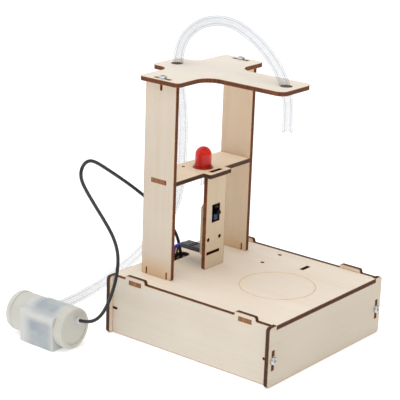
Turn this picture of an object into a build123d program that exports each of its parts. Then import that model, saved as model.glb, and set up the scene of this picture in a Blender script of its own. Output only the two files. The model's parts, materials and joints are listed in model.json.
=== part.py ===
"""Automatic water dispenser kit: plywood stand, sensor, lamp, submersible pump and spout tube.

Frame: millimetres, +Z up, +X right seen from the front, the front faces -Y.
Origin: centre of the base's footprint, on the surface it stands on.
"""

import os
from math import tan, radians

from build123d import *

# ---------------------------------------------------------------- driving dimensions
PLY = 2.5  # plywood thickness

# base
BASE_WIDTH = 112.0  # X, over the front and back panels
BASE_LENGTH = 117.0  # Y, over the front and back panels
BASE_HEIGHT = 35.0  # top of the deck
PANEL_LIP = 3.0  # front and back panels stand out past the side panels
CORNER_R = 2.0
TAB_Y, TAB_LENGTH = 39.5, 8.8  # deck tabs in the side panels, front and back
RIDGE_LENGTH, RIDGE_HEIGHT = 14.5, 2.4  # raised tab over each deck tab
RIDGE_TOP_R, RIDGE_FOOT_R = 1.4, 0.9
NOTCH_GAP = 1.0  # the end panels' notch for the deck, inside the side panels

# screwed joints: a screw in a slit, between two keys
SCREW_Z = 15.3
KEY_NEAR, KEY_FAR = 2.6, 5.9  # a joint's two keys, from the screw's axis
SLIT_WIDTH, SLIT_DEEP_SIDE, SLIT_DEEP_COLUMN = 1.4, 3.5, 4.3
SCREW_HOLE_R = 1.1
SCREW_R, SCREW_LENGTH = 0.95, 6.0
HEAD_R, HEAD_HEIGHT, HEAD_EDGE_R = 2.4, 1.5, 0.9
CROSS_LENGTH, CROSS_WIDTH, CROSS_DEEP = 2.6, 0.6, 0.8

# holes in the deck
CUP_Y, CUP_R = -23.0, 22.0  # engraved ring for the cup
ENGRAVED_WIDTH, ENGRAVED_DEEP = 0.5, 0.15
ACCESSORY_X, ACCESSORY_Y, ACCESSORY_PITCH = 34.5, 6.6, 18.0
ACCESSORY_SLOT_X, ACCESSORY_SLOT_Y, ACCESSORY_SLOT_LENGTH = 35.3, -17.7, 8.0
WIRE_HOLE_X, WIRE_HOLE_Y, WIRE_HOLE_LENGTH, WIRE_HOLE_WIDTH = -3.5, 50.4, 22.0, 8.0

# tower
COLUMN_X = 37.2  # outer face of each column
COLUMN_Y, COLUMN_WIDTH = 37.0, 22.0
TOP_Z = 152.5  # top of the top plate
COLUMN_FOOT_R = 0.8
FOOT_LENGTH, RELIEF_WIDTH, RELIEF_HEIGHT = 14.3, 0.7, 4.2
SHELF_Z = 94.0  # top of the shelf
SHELF_TAB, TAB_PLAY = 10.8, 0.3
SHELF_NOSE_Y, SHELF_NOSE_HALF, SHELF_NOSE_R = 20.6, 10.0, 1.2
SHELF_WIRE_X, SHELF_WIRE_Y, SHELF_WIRE_R = -7.4, 43.2, 0.9
SENSOR_Y = 23.6  # front face of the sensor panel
SENSOR_HALF, SENSOR_FOOT, SENSOR_TONGUE, SENSOR_FOOT_R = 9.0, 8.0, 9.8, 1.2
TONGUE_RISE = 1.2  # the panel's top tongue in the shelf
WINDOW_Z, WINDOW_WIDTH, WINDOW_HEIGHT = 68.4, 7.2, 10.8
PIN_SLOT_Z, PIN_SLOT_LENGTH, PIN_SLOT_HEIGHT = 44.4, 12.0, 1.6
FACE_HOLE_X, FACE_HOLE_Z, FACE_HOLE_PITCH = -1.0, 52.9, 10.8

# top plate: half widths and ends of its arm, wings and tube wing
ARM_HALF, ARM_TIP = 14.3, -30.0
WING_HALF, WING_LOW, WING_HIGH = 40.0, 22.6, 51.4
TUBE_WING_HALF, TUBE_WING_TIP = 12.8, 65.0
TUBE_HOLE_Y, TUBE_HOLE_PLAY = 56.4, 0.3
SPOUT_HOLE_Y, SPOUT_HOLE_PLAY = -21.8, 0.4

# lamp
LED_Y, LED_R, LED_HEIGHT = 34.4, 4.85, 12.6
LED_FLANGE_R, LED_FLANGE_HEIGHT = 5.5, 1.3
LEG_X, LEG_HALF, LEG_LENGTH, LEG_HOLE_R = 1.27, 0.25, 11.0, 2.6

# sensor board and what is on it
PCB_GAP, PCB_T = 0.6, 1.6  # foam behind the panel, board
PCB_LOW, PCB_HIGH, PCB_HALF, PCB_CHAMFER = 42.6, 74.2, 8.2, 1.8
PAD_Z, PAD_WIDTH, PAD_HEIGHT = 58.5, 12.0, 6.0
BOARD_HOLE_R = 1.5
EYE_R, EYE_COLLAR, EYE_COLLAR_HEIGHT = 1.45, 0.2, 0.7
EMITTER_X, EMITTER_Z, EMITTER_REACH = 1.0, 72.0, 3.4
RECEIVER_X, RECEIVER_Z, RECEIVER_REACH = 1.2, 68.7, 5.6
TRIM_X, TRIM_Z, TRIM_HALF, TRIM_HEIGHT = 1.7, 65.1, 1.7, 2.0
TRIM_WELL_R, TRIM_WELL_DEEP, TRIM_PLAY, TRIM_PROUD = 1.2, 1.0, 0.05, 0.2
TRIM_GROOVE_LENGTH, TRIM_GROOVE_WIDTH, TRIM_GROOVE_DEEP = 1.8, 0.4, 0.4
PLUG_X, PIN_PITCH, PIN_HALF = -1.5, 2.54, 0.32
HEADER_HALF, HEADER_HEIGHT, HEADER_DEEP = 3.81, 1.25, 2.5
PIN_REACH, PIN_STUB = 6.0, 1.4
PLUG_HALF, PLUG_HEIGHT, PLUG_BORE_HALF = 3.9, 1.3, 0.42
LATCH_HALF, LATCH_START, LATCH_END, LATCH_DEEP = 0.7, 5.0, 8.5, 0.7

# battery tray under the deck
HOLDER_Y0, HOLDER_Y1, HOLDER_HALF, HOLDER_LOW = -53.0, -5.0, 30.0, 17.2
HOLDER_WALL, HOLDER_ROOF = 1.5, 1.4
CELL_R, CELL_HALF, CELL_PITCH = 7.1, 24.6, 15.2
CELL_NUB_R, CELL_NUB = 2.7, 1.0
CONTACT_HALF, CONTACT_T = 5.0, 0.4
SPRING_WIDE_R, SPRING_NARROW_R, SPRING_WALL = 3.6, 2.2, 0.6

# control board under the deck
BOARD_X0, BOARD_X1, BOARD_Y0, BOARD_Y1 = -14.0, 27.0, 4.0, 46.0
BOARD_TOP, BOARD_T, BOARD_CORNER_R = 29.1, 1.6, 1.5
SPACER_INSET, SPACER_R, SPACER_BORE_R = 3.5, 2.6, 0.9
BOARD_SCREW_R, BOARD_HEAD_R, BOARD_HEAD, BOARD_SCREW_REACH = 0.88, 2.2, 1.3, 2.4
CHIP_X, CHIP_Y, CHIP_HALF_X, CHIP_HALF_Y = 2.0, 24.0, 4.8, 3.2
CAPACITOR_X, CAPACITOR_Y, CAPACITOR_R, CAPACITOR_HEIGHT = -7.0, 20.0, 3.2, 9.0
TRANSISTOR_X, TRANSISTOR_Y, TRANSISTOR_HALF = 17.0, 24.0, 5.0
SOCKET_X0, SOCKET_X1, SOCKET_Y0, SOCKET_Y1, SOCKET_DEEP = -8.1, -0.1, 37.2, 43.2, 6.4
TERMINAL_X0, TERMINAL_X1, TERMINAL_LENGTH, TERMINAL_DEEP = -0.2, 8.6, 8.4, 8.5
SWITCH_X, SWITCH_Y, SWITCH_TRAVEL = 7.0, 9.0, 2.0
SWITCH_HALF_X, SWITCH_HALF_Y, SWITCH_DEEP = 4.3, 2.2, 4.6

# pump: end cap, case, impeller chamber and inlet cover along Y
PUMP_X, PUMP_Z, PUMP_R = -87.0, 12.3, 12.0
PUMP_FRONT_Y, PUMP_LENGTH = 54.5, 44.5
CAP_LENGTH, CASE_LENGTH, VOLUTE_LENGTH = 6.0, 25.5, 9.0
CASE_BORE_R, CASE_WALL, WALL_BORE_R = 10.4, 2.0, 2.6
BLOCK_TOP = 19.8
SHAFT_R, RUNNING_GAP = 1.0, 0.05
OUTLET_DROP, OUTLET_BACK = 2.8, 4.0  # outlet pipe from the pump's axis and from the case
OUTLET_R, OUTLET_BORE_R, BARB_LENGTH = 3.4, 1.2, 9.0
CHAMBER_R = 9.2
INLET_R, INLET_LIP_R, INLET_ROOM_R = 3.5, 5.0, 8.0
GLAND_DX, GLAND_DZ, GLAND_R = 3.0, 4.4, 1.9  # cable gland from the pump's axis
CAN_GAP, CAN_R, CAN_WALL, CAN_END = 4.0, 10.0, 0.6, 0.8
SEAL_R = 2.0
MAGNET_BORE_R, MAGNET_GAP = 7.4, 3.0
ROTOR_R, ROTOR_POLES = 6.9, 3
IMPELLER_R, HUB_R, BLADES = 7.6, 2.4, 5

# soft lines
TUBE_R, TUBE_BORE_R = 3.0, 2.0
CABLE_R = 1.0
WIRE_R = 0.6

# worked out from the above
HALF_W, HALF_L = BASE_WIDTH / 2, BASE_LENGTH / 2
SIDE_OUT = HALF_W - PANEL_LIP
SIDE_IN = SIDE_OUT - PLY
SIDE_MID = SIDE_OUT - PLY / 2
NOTCH_HALF = SIDE_IN - NOTCH_GAP
DECK_LOW = BASE_HEIGHT - PLY
COLUMN_IN = COLUMN_X - PLY
COLUMN_MID = COLUMN_X - PLY / 2
PLATE_LOW = TOP_Z - PLY
SHELF_LOW = SHELF_Z - PLY
SENSOR_MID_Y = SENSOR_Y + PLY / 2
PCB_Y = SENSOR_Y + PLY + PCB_GAP
PCB_BACK_Y = PCB_Y + PCB_T
PIN_XS = [PLUG_X + i * PIN_PITCH for i in (-1, 0, 1)]
CELL_Z = DECK_LOW - HOLDER_ROOF - CELL_R - 0.1
CELL_YS = [(HOLDER_Y0 + HOLDER_Y1) / 2 + i * CELL_PITCH for i in (-1, 0, 1)]
CELL_ROOM_HALF = HOLDER_HALF - HOLDER_WALL
BOARD_LOW = BOARD_TOP - BOARD_T
SPACER_SPOTS = [(x, y) for x in (BOARD_X0 + SPACER_INSET, BOARD_X1 - SPACER_INSET)
                for y in (BOARD_Y0 + SPACER_INSET, BOARD_Y1 - SPACER_INSET)]
CASE_Y = PUMP_FRONT_Y + CAP_LENGTH
VOLUTE_Y = CASE_Y + CASE_LENGTH
INLET_Y = VOLUTE_Y + VOLUTE_LENGTH
PUMP_END_Y = PUMP_FRONT_Y + PUMP_LENGTH
GLAND_X, GLAND_Z = PUMP_X + GLAND_DX, PUMP_Z + GLAND_DZ
OUTLET_Y, OUTLET_Z = VOLUTE_Y + OUTLET_BACK, PUMP_Z - OUTLET_DROP
TUBE_START_X = PUMP_X + PUMP_R + 1.5
CAN_Y0, CAN_Y1 = CASE_Y + CAN_GAP, VOLUTE_Y - CASE_WALL

# ---------------------------------------------------------------- routes of the soft lines
TUBE_ROUTE = [
    (TUBE_START_X, OUTLET_Y, OUTLET_Z),
    (-57.0, 90.3, 9.3),
    (-39.0, 90.8, 10.2),
    (-22.5, 90.0, 13.6),
    (-8.5, 86.6, 21.0),
    (3.2, 80.0, 32.5),
    (9.0, 71.5, 46.0),
    (10.0, 63.0, 60.5),
    (8.4, 57.8, 76.5),
    (7.8, 56.6, 95.0),
    (8.4, 56.9, 114.0),
    (5.6, 57.2, 133.0),
    (0.9, 56.8, 148.0),
    (0.0, 54.6, 164.0),
    (0.0, 45.2, 175.6),
    (0.0, 31.0, 182.0),
    (0.0, 15.5, 182.2),
    (0.0, 1.0, 175.8),
    (0.0, -11.0, 166.8),
    (0.0, -19.3, 156.5),
    (0.0, -23.2, 146.5),
    (0.0, -24.2, 136.6),
    (0.0, -24.2, 126.8),
]
CABLE_ROUTE = [
    (GLAND_X, PUMP_FRONT_Y - 1.0, GLAND_Z),
    (-83.2, 47.0, 17.0),
    (-78.9, 42.9, 19.9),
    (-72.0, 42.9, 26.2),
    (-65.6, 44.2, 34.6),
    (-61.4, 45.4, 43.6),
    (-60.4, 46.3, 53.2),
    (-63.6, 47.2, 63.4),
    (-70.4, 48.2, 74.5),
    (-77.6, 49.2, 85.2),
    (-84.2, 50.3, 95.6),
    (-87.2, 50.9, 102.0),
    (-86.9, 51.3, 106.9),
    (-83.4, 51.6, 110.4),
    (-78.2, 51.9, 110.6),
    (-71.8, 52.1, 107.4),
    (-63.2, 52.3, 101.8),
    (-50.2, 52.6, 93.2),
    (-36.4, 52.8, 83.4),
    (-23.6, 52.8, 73.4),
    (-11.8, 52.5, 61.8),
    (-1.8, 52.3, 50.6),
    (3.2, 52.2, 39.4),
    (4.2, 51.6, 29.0),
]
WIRE_LEAD = [  # from the plug's end, x measured from the wire's own pin
    (0.0, 44.9, 44.4),
    (-0.3, 48.5, 43.9),
    (-1.0, 51.1, 40.8),
    (-1.7, 51.9, 36.2),
    (-2.2, 52.0, 30.9),
    (-2.4, 51.0, 25.9),
    (-2.6, 47.7, 23.0),
    (-2.6, 43.2, 22.6),
]


# ---------------------------------------------------------------- helpers
def facing(y, sketch, amount):
    """Solid whose sketch lies in X and Z, grown from y by amount along Y."""
    plane = Plane(origin=(0, y, 0), x_dir=(1, 0, 0), z_dir=(0, -1, 0))
    return extrude(plane * sketch, -amount)


def sideways(x, sketch, amount):
    """Solid whose sketch lies in Y and Z, grown from x by amount along X."""
    return extrude(Plane(origin=(x, 0, 0), x_dir=(0, 1, 0), z_dir=(1, 0, 0)) * sketch, amount)


def flat(z, sketch, amount):
    """Solid whose sketch lies in X and Y, grown from z by amount along Z."""
    return extrude(Plane.XY.offset(z) * sketch, amount)


def block(x0, x1, y0, y1, z0, z1):
    """Box between two corners."""
    return Pos((x0 + x1) / 2, (y0 + y1) / 2, (z0 + z1) / 2) * Box(x1 - x0, y1 - y0, z1 - z0)


def rod_y(x, z, y0, y1, r):
    """Cylinder along Y from y0 to y1."""
    return facing(y0, Pos(x, z) * Circle(r), y1 - y0)


def rod_x(y, z, x0, x1, r):
    """Cylinder along X from x0 to x1."""
    return sideways(x0, Pos(y, z) * Circle(r), x1 - x0)


def rod_z(x, y, z0, z1, r):
    """Cylinder along Z from z0 to z1."""
    return flat(z0, Pos(x, y) * Circle(r), z1 - z0)


def pin_y(x, z, y0, y1, half):
    """Square bar along Y."""
    return block(x - half, x + half, y0, y1, z - half, z + half)


def pin_z(x, y, z0, z1, half):
    """Square bar along Z."""
    return block(x - half, x + half, y - half, y + half, z0, z1)


def both(make):
    """The pieces that make(side) gives on the left and on the right."""
    return [make(-1), make(1)]


def key_windows(along, across):
    """Two key windows above and below a screw at (along, across) of a sketch."""
    mid, length = (KEY_NEAR + KEY_FAR) / 2, KEY_FAR - KEY_NEAR
    window = Rectangle(PLY, length)
    return Sketch() + [Pos(along, across + side * mid) * window for side in (-1, 1)]


def key_tabs(depth):
    """Two keys on either side of the origin along X, sunk into the wood by depth past their root."""
    mid, length = (KEY_NEAR + KEY_FAR) / 2, KEY_FAR - KEY_NEAR
    tab = Rectangle(length, 2 * depth)
    return Sketch() + [Pos(side * mid, 0) * tab for side in (-1, 1)]


def slit(x, y, width, length, angle):
    """Screw slot with one round end, running from (x, y) in the direction angle."""
    r = width / 2
    shape = Pos((length - r) / 2, 0) * Rectangle(length - r, width) + Pos(length - r, 0) * Circle(r)
    return Pos(x, y) * Rot(0, 0, angle) * shape


def save(name, *solids):
    """Writes one node."""
    parts = []
    for solid in solids:
        parts.extend(solid if isinstance(solid, list) else [solid])
    pieces = [s for part in parts for s in part.solids()]
    shape = pieces[0] if len(pieces) == 1 else Compound(children=pieces)
    shape.label = name
    export_step(shape, os.path.join("parts", name + ".step"))


def soft_path(points):
    """Path of straight runs joined by the largest tangent arcs that the runs allow, and the radii."""
    knots = [Vector(*p) for p in points]
    runs = [b - a for a, b in zip(knots, knots[1:])]
    radii = []
    for one, two in zip(runs, runs[1:]):
        half_turn = radians(one.get_angle(two)) / 2
        radii.append(0.45 * min(one.length, two.length) / tan(half_turn))
    return FilletPolyline(*points, radius=radii), radii


def soft_line(name, points, r, bore=0.0):
    """Writes a tube or cable along a route and prints its measures."""
    path, radii = soft_path(points)
    section = (path ^ 0) * (Circle(r) - Circle(bore) if bore else Circle(r))
    solid = sweep(section, path=path)
    print(name, "length %.1f mm, least radius %.1f mm" % (path.length, min(radii)),
          "volume / (section x length) %.4f" % (solid.volume / (section.area * path.length)))
    save(name, solid)


# ---------------------------------------------------------------- base
def end_panel(y):
    """Front or back panel, its outer face towards -Y when y is the front."""
    outline = Pos(0, BASE_HEIGHT / 2) * RectangleRounded(BASE_WIDTH, BASE_HEIGHT, CORNER_R)
    outline -= Pos(0, BASE_HEIGHT) * Rectangle(2 * NOTCH_HALF, 2 * PLY)
    for side in (-1, 1):
        outline -= key_windows(side * SIDE_MID, SCREW_Z)
        outline -= Pos(side * SIDE_MID, SCREW_Z) * Circle(SCREW_HOLE_R)
    return facing(y, outline, PLY)


def corners_at(outline, height, reach):
    """Corners of an outline at a height of its sketch, nearer than reach to the sketch's middle line."""
    return [v for v in outline.vertices() if abs(v.Y - height) < 0.01 and abs(v.X) < reach]


def side_panel(x):
    """Side panel with deck slots under raised tabs, and keys into the end panels."""
    inner = HALF_L - PLY
    outline = Pos(0, BASE_HEIGHT / 2) * Rectangle(2 * inner, BASE_HEIGHT)
    for end in (-1, 1):
        outline += Pos(end * TAB_Y, BASE_HEIGHT) * Rectangle(RIDGE_LENGTH, 2 * RIDGE_HEIGHT)
    outline = fillet(corners_at(outline, BASE_HEIGHT + RIDGE_HEIGHT, inner - 1), RIDGE_TOP_R)
    outline = fillet(corners_at(outline, BASE_HEIGHT, inner - 1), RIDGE_FOOT_R)
    for end in (-1, 1):
        outline += Pos(end * inner, SCREW_Z) * Rot(0, 0, 90) * key_tabs(PLY)
        outline -= slit(end * inner, SCREW_Z, SLIT_WIDTH, SLIT_DEEP_SIDE, 180 if end > 0 else 0)
        outline -= Pos(end * TAB_Y, DECK_LOW + PLY / 2) * Rectangle(TAB_LENGTH, PLY)
    return sideways(x, outline, PLY)


def deck():
    """Top of the base, with its slots, holes and the engraved cup ring."""
    outline = Rectangle(2 * SIDE_IN, BASE_LENGTH - 2 * PLY) + Rectangle(2 * NOTCH_HALF, BASE_LENGTH)
    for end in (-1, 1):
        outline += Pos(0, end * TAB_Y) * Rectangle(2 * SIDE_OUT, TAB_LENGTH)
    for end in (-1, 1):
        outline -= Pos(end * COLUMN_MID, COLUMN_Y) * Rectangle(PLY, FOOT_LENGTH)
        outline -= Pos(ACCESSORY_X + end * ACCESSORY_PITCH / 2, ACCESSORY_Y) * Circle(SCREW_HOLE_R)
    outline -= Pos(0, SENSOR_MID_Y) * Rectangle(SENSOR_FOOT, PLY)
    outline -= Pos(ACCESSORY_SLOT_X, ACCESSORY_SLOT_Y) * Rectangle(ACCESSORY_SLOT_LENGTH, PLY)
    outline -= Pos(WIRE_HOLE_X, WIRE_HOLE_Y) * SlotOverall(WIRE_HOLE_LENGTH, WIRE_HOLE_WIDTH)
    ring = Circle(CUP_R + ENGRAVED_WIDTH / 2) - Circle(CUP_R - ENGRAVED_WIDTH / 2)
    return flat(DECK_LOW, outline, PLY) - flat(BASE_HEIGHT - ENGRAVED_DEEP, Pos(0, CUP_Y) * ring, 1.0)


# ---------------------------------------------------------------- tower
def column(x):
    """Upright with a foot in the deck, a shelf slot, and keys into the top plate."""
    height = PLATE_LOW - BASE_HEIGHT
    outline = Pos(COLUMN_Y, BASE_HEIGHT + height / 2) * Rectangle(COLUMN_WIDTH, height)
    outline = fillet(outline.vertices().group_by(Axis.Y)[0], COLUMN_FOOT_R)
    outline += Pos(COLUMN_Y, BASE_HEIGHT) * Rectangle(FOOT_LENGTH, 2 * PLY)
    outline += Pos(COLUMN_Y, PLATE_LOW) * key_tabs(PLY)
    for end in (-1, 1):
        slot_y = COLUMN_Y + end * (FOOT_LENGTH + RELIEF_WIDTH) / 2
        outline -= Pos(slot_y, BASE_HEIGHT) * Rectangle(RELIEF_WIDTH, 2 * RELIEF_HEIGHT)
    outline -= Pos(COLUMN_Y, SHELF_Z - PLY / 2) * Rectangle(SHELF_TAB, PLY)
    outline -= slit(COLUMN_Y, PLATE_LOW, SLIT_WIDTH, SLIT_DEEP_COLUMN, -90)
    return sideways(x, outline, PLY)


def shelf():
    """Lamp shelf between the columns, with a nose that holds the sensor panel's top."""
    nose_length = COLUMN_Y - SHELF_NOSE_Y
    outline = Pos(0, COLUMN_Y) * Rectangle(2 * COLUMN_IN, COLUMN_WIDTH)
    outline += Pos(0, COLUMN_Y) * Rectangle(2 * COLUMN_X, SHELF_TAB - TAB_PLAY)
    outline += Pos(0, SHELF_NOSE_Y + nose_length / 2) * Rectangle(2 * SHELF_NOSE_HALF, nose_length)
    outline = fillet(corners_at(outline, SHELF_NOSE_Y, COLUMN_X), SHELF_NOSE_R)
    outline -= Pos(0, LED_Y) * Circle(LEG_HOLE_R)
    outline -= Pos(SHELF_WIRE_X, SHELF_WIRE_Y) * Circle(SHELF_WIRE_R)
    outline -= Pos(0, SENSOR_MID_Y) * Rectangle(SENSOR_TONGUE + TAB_PLAY, PLY)
    return flat(SHELF_LOW, outline, PLY)


def strip(half, y0, y1):
    """Rectangle of a sketch across the middle line, from y0 to y1."""
    return Pos(0, (y0 + y1) / 2) * Rectangle(2 * half, y1 - y0)


def top_plate():
    """Cross-shaped plate: a wing over each column, a tube wing behind and the long spout arm."""
    outline = strip(ARM_HALF, ARM_TIP, COLUMN_Y) + strip(WING_HALF, WING_LOW, WING_HIGH)
    outline += strip(TUBE_WING_HALF, COLUMN_Y, TUBE_WING_TIP)
    rounded = (
        (ARM_HALF, ARM_TIP, 5.0),
        (ARM_HALF, WING_LOW, 10.0),
        (TUBE_WING_HALF, WING_HIGH, 7.0),
        (WING_HALF, WING_LOW, 3.0),
        (WING_HALF, WING_HIGH, 3.0),
        (TUBE_WING_HALF, TUBE_WING_TIP, 4.0),
    )
    for x, y, r in rounded:
        corners = [v for v in corners_at(outline, y, x + 0.01) if abs(v.X) > x - 0.01]
        outline = fillet(corners, r)
    outline -= Pos(0, TUBE_HOLE_Y) * Circle(TUBE_R + TUBE_HOLE_PLAY)
    outline -= Pos(0, SPOUT_HOLE_Y) * Circle(TUBE_R + SPOUT_HOLE_PLAY)
    for side in (-1, 1):
        outline -= key_windows(side * COLUMN_MID, COLUMN_Y)
        outline -= Pos(side * COLUMN_MID, COLUMN_Y) * Circle(SCREW_HOLE_R)
    return flat(PLATE_LOW, outline, PLY)


def sensor_panel():
    """Upright panel with the sensor window, two small holes and the pin slot."""
    outline = strip(SENSOR_HALF, BASE_HEIGHT, SHELF_LOW)
    outline = fillet(outline.vertices().group_by(Axis.Y)[0], SENSOR_FOOT_R)
    outline += strip(SENSOR_FOOT / 2, DECK_LOW, BASE_HEIGHT + 1)
    outline += strip(SENSOR_TONGUE / 2, SHELF_LOW - 1, SHELF_LOW + TONGUE_RISE)
    outline -= Pos(0, WINDOW_Z) * Rectangle(WINDOW_WIDTH, WINDOW_HEIGHT)
    outline -= Pos(PLUG_X, PIN_SLOT_Z) * Rectangle(PIN_SLOT_LENGTH, PIN_SLOT_HEIGHT)
    for side in (-1, 1):
        outline -= Pos(FACE_HOLE_X + side * FACE_HOLE_PITCH / 2, FACE_HOLE_Z) * Circle(SCREW_HOLE_R)
    return facing(SENSOR_Y, outline, PLY)


def screw(head, axis):
    """Pan-head screw: head is the middle of the head's underside, axis points into the wood."""
    place = Plane(origin=head, z_dir=axis)
    cap = place * Pos(0, 0, -HEAD_HEIGHT / 2) * Cylinder(HEAD_R, HEAD_HEIGHT)
    above = Vector(*head) - Vector(*axis) * HEAD_R * 4
    cap = fillet(cap.edges().filter_by(GeomType.CIRCLE).sort_by_distance(above)[0], HEAD_EDGE_R)
    shank = place * Pos(0, 0, SCREW_LENGTH / 2) * Cylinder(SCREW_R, SCREW_LENGTH)
    cross = Rectangle(CROSS_LENGTH, CROSS_WIDTH) + Rectangle(CROSS_WIDTH, CROSS_LENGTH)
    recess = extrude(place * Pos(0, 0, -HEAD_HEIGHT) * cross, CROSS_DEEP)
    return cap + shank - recess


# ---------------------------------------------------------------- lamp
def led_lens():
    """Round indicator lamp with its flange on the shelf."""
    dome_z = SHELF_Z + LED_HEIGHT - LED_R
    body = rod_z(0, LED_Y, SHELF_Z, dome_z, LED_R) + Pos(0, LED_Y, dome_z) * Sphere(LED_R)
    return body + rod_z(0, LED_Y, SHELF_Z, SHELF_Z + LED_FLANGE_HEIGHT, LED_FLANGE_R)


def led_leads():
    """Two wire legs that pass down through the shelf."""
    return both(lambda side: pin_z(side * LEG_X, LED_Y, SHELF_Z - LEG_LENGTH, SHELF_Z, LEG_HALF))


# ---------------------------------------------------------------- sensor
def sensor_board():
    """Circuit board behind the sensor panel."""
    outline = chamfer(strip(PCB_HALF, PCB_LOW, PCB_HIGH).vertices(), PCB_CHAMFER)
    outline -= Pos(FACE_HOLE_X + FACE_HOLE_PITCH / 2, FACE_HOLE_Z) * Circle(BOARD_HOLE_R)
    for x in PIN_XS:
        outline -= Pos(x, PIN_SLOT_Z) * Rectangle(2 * PIN_HALF, 2 * PIN_HALF)
    return facing(PCB_Y, outline, PCB_T)


def sensor_pad():
    """Double-sided foam pad between the panel and the board."""
    return facing(SENSOR_Y + PLY, Pos(0, PAD_Z) * Rectangle(PAD_WIDTH, PAD_HEIGHT), PCB_GAP)


def eye(x, z, reach):
    """Small round-nosed sensing element standing out of the board towards -Y."""
    nose_y = PCB_Y - reach + EYE_R
    body = rod_y(x, z, nose_y, PCB_Y, EYE_R) + Pos(x, nose_y, z) * Sphere(EYE_R)
    return body + rod_y(x, z, PCB_Y - EYE_COLLAR_HEIGHT, PCB_Y, EYE_R + EYE_COLLAR)


def trimmer_body():
    """Sensitivity trimmer with a round well for its rotor."""
    body = block(TRIM_X - TRIM_HALF, TRIM_X + TRIM_HALF, PCB_Y - TRIM_HEIGHT, PCB_Y,
                 TRIM_Z - TRIM_HALF, TRIM_Z + TRIM_HALF)
    return body - rod_y(TRIM_X, TRIM_Z, PCB_Y - TRIM_HEIGHT - 1, PCB_Y - TRIM_WELL_DEEP, TRIM_WELL_R)


def trimmer_rotor():
    """Slotted rotor of the trimmer, a little proud of its body."""
    face_y = PCB_Y - TRIM_HEIGHT - TRIM_PROUD
    rotor = rod_y(TRIM_X, TRIM_Z, face_y, PCB_Y - TRIM_WELL_DEEP - TRIM_PLAY, TRIM_WELL_R - TRIM_PLAY)
    groove = Pos(TRIM_X, TRIM_Z) * Rectangle(TRIM_GROOVE_LENGTH, TRIM_GROOVE_WIDTH)
    return rotor - facing(face_y, groove, TRIM_GROOVE_DEEP)


def pin_header():
    """Black strip behind the board that carries the three pins."""
    strip_back = PCB_BACK_Y + HEADER_DEEP
    bar = block(PLUG_X - HEADER_HALF, PLUG_X + HEADER_HALF, PCB_BACK_Y, strip_back,
                PIN_SLOT_Z - HEADER_HEIGHT, PIN_SLOT_Z + HEADER_HEIGHT)
    for x in PIN_XS:
        bar -= pin_y(x, PIN_SLOT_Z, PCB_Y, strip_back + 1, PIN_HALF)
    return bar


def header_pins():
    """Three square pins through the board and the strip."""
    tip_y = PCB_BACK_Y + HEADER_DEEP + PIN_REACH
    return [pin_y(x, PIN_SLOT_Z, PCB_Y - PIN_STUB, tip_y, PIN_HALF) for x in PIN_XS]


def sensor_plug():
    """Three-way crimp housing on the pins, with its latch windows."""
    y0, y1 = PCB_BACK_Y + HEADER_DEEP + 0.1, WIRE_LEAD[0][1]
    body = block(PLUG_X - PLUG_HALF, PLUG_X + PLUG_HALF, y0, y1,
                 PIN_SLOT_Z - PLUG_HEIGHT, PIN_SLOT_Z + PLUG_HEIGHT)
    window_y0, window_y1 = y0 + LATCH_START, y0 + LATCH_END
    for x in PIN_XS:
        body -= pin_y(x, PIN_SLOT_Z, y0 - 1, y0 + PIN_REACH + 0.4, PLUG_BORE_HALF)
        body -= block(x - LATCH_HALF, x + LATCH_HALF, window_y0, window_y1,
                      PIN_SLOT_Z + PLUG_HEIGHT - LATCH_DEEP, PIN_SLOT_Z + PLUG_HEIGHT + 1)
    return body


# ---------------------------------------------------------------- under the deck
def battery_holder():
    """Tray for three cells, stuck under the deck and open downwards."""
    tray = block(-HOLDER_HALF, HOLDER_HALF, HOLDER_Y0, HOLDER_Y1, HOLDER_LOW, DECK_LOW)
    room = CELL_R + 0.2
    for y in CELL_YS:
        tray -= block(-CELL_ROOM_HALF, CELL_ROOM_HALF, y - room, y + room,
                      HOLDER_LOW - 1, DECK_LOW - HOLDER_ROOF)
    return tray


def cell_sides():
    """Row of each cell with the side its nub points to, neighbours facing opposite ways."""
    return [(CELL_YS[0], -1), (CELL_YS[1], 1), (CELL_YS[2], -1)]


def batteries():
    """Three round cells."""
    cells = []
    for y, side in cell_sides():
        nub_x = sorted((side * CELL_HALF, side * (CELL_HALF + CELL_NUB)))
        cells.append(rod_x(y, CELL_Z, -CELL_HALF, CELL_HALF, CELL_R) + rod_x(y, CELL_Z, *nub_x, CELL_NUB_R))
    return cells


def contact_plates():
    """Flat contact plate at each end of each cell."""
    plates = []
    for y in CELL_YS:
        for side in (-1, 1):
            x0, x1 = sorted((side * CELL_ROOM_HALF, side * (CELL_ROOM_HALF - CONTACT_T)))
            plates.append(block(x0, x1, y - CONTACT_HALF, y + CONTACT_HALF,
                                CELL_Z - CONTACT_HALF, CELL_Z + CONTACT_HALF))
    return plates


def contact_springs():
    """Tapered spring, drawn as a hollow cone, between each cell's flat end and its plate."""
    springs = []
    far = CELL_ROOM_HALF - CONTACT_T
    height = far - CELL_HALF
    stand = (Align.CENTER, Align.CENTER, Align.MIN)
    outer = Cone(SPRING_WIDE_R, SPRING_NARROW_R, height, align=stand)
    inner = Cone(SPRING_WIDE_R - SPRING_WALL, SPRING_NARROW_R - SPRING_WALL, height, align=stand)
    for y, side in cell_sides():
        foot = Plane(origin=(-side * far, y, CELL_Z), x_dir=(0, 1, 0), z_dir=(side, 0, 0))
        springs.append(foot * (outer - inner))
    return springs


def control_board():
    """Pump driver board that hangs under the deck."""
    width, length = BOARD_X1 - BOARD_X0, BOARD_Y1 - BOARD_Y0
    middle = Pos(BOARD_X0 + width / 2, BOARD_Y0 + length / 2)
    outline = middle * RectangleRounded(width, length, BOARD_CORNER_R)
    for x, y in SPACER_SPOTS:
        outline -= Pos(x, y) * Circle(SCREW_HOLE_R)
    return flat(BOARD_LOW, outline, BOARD_T)


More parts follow.
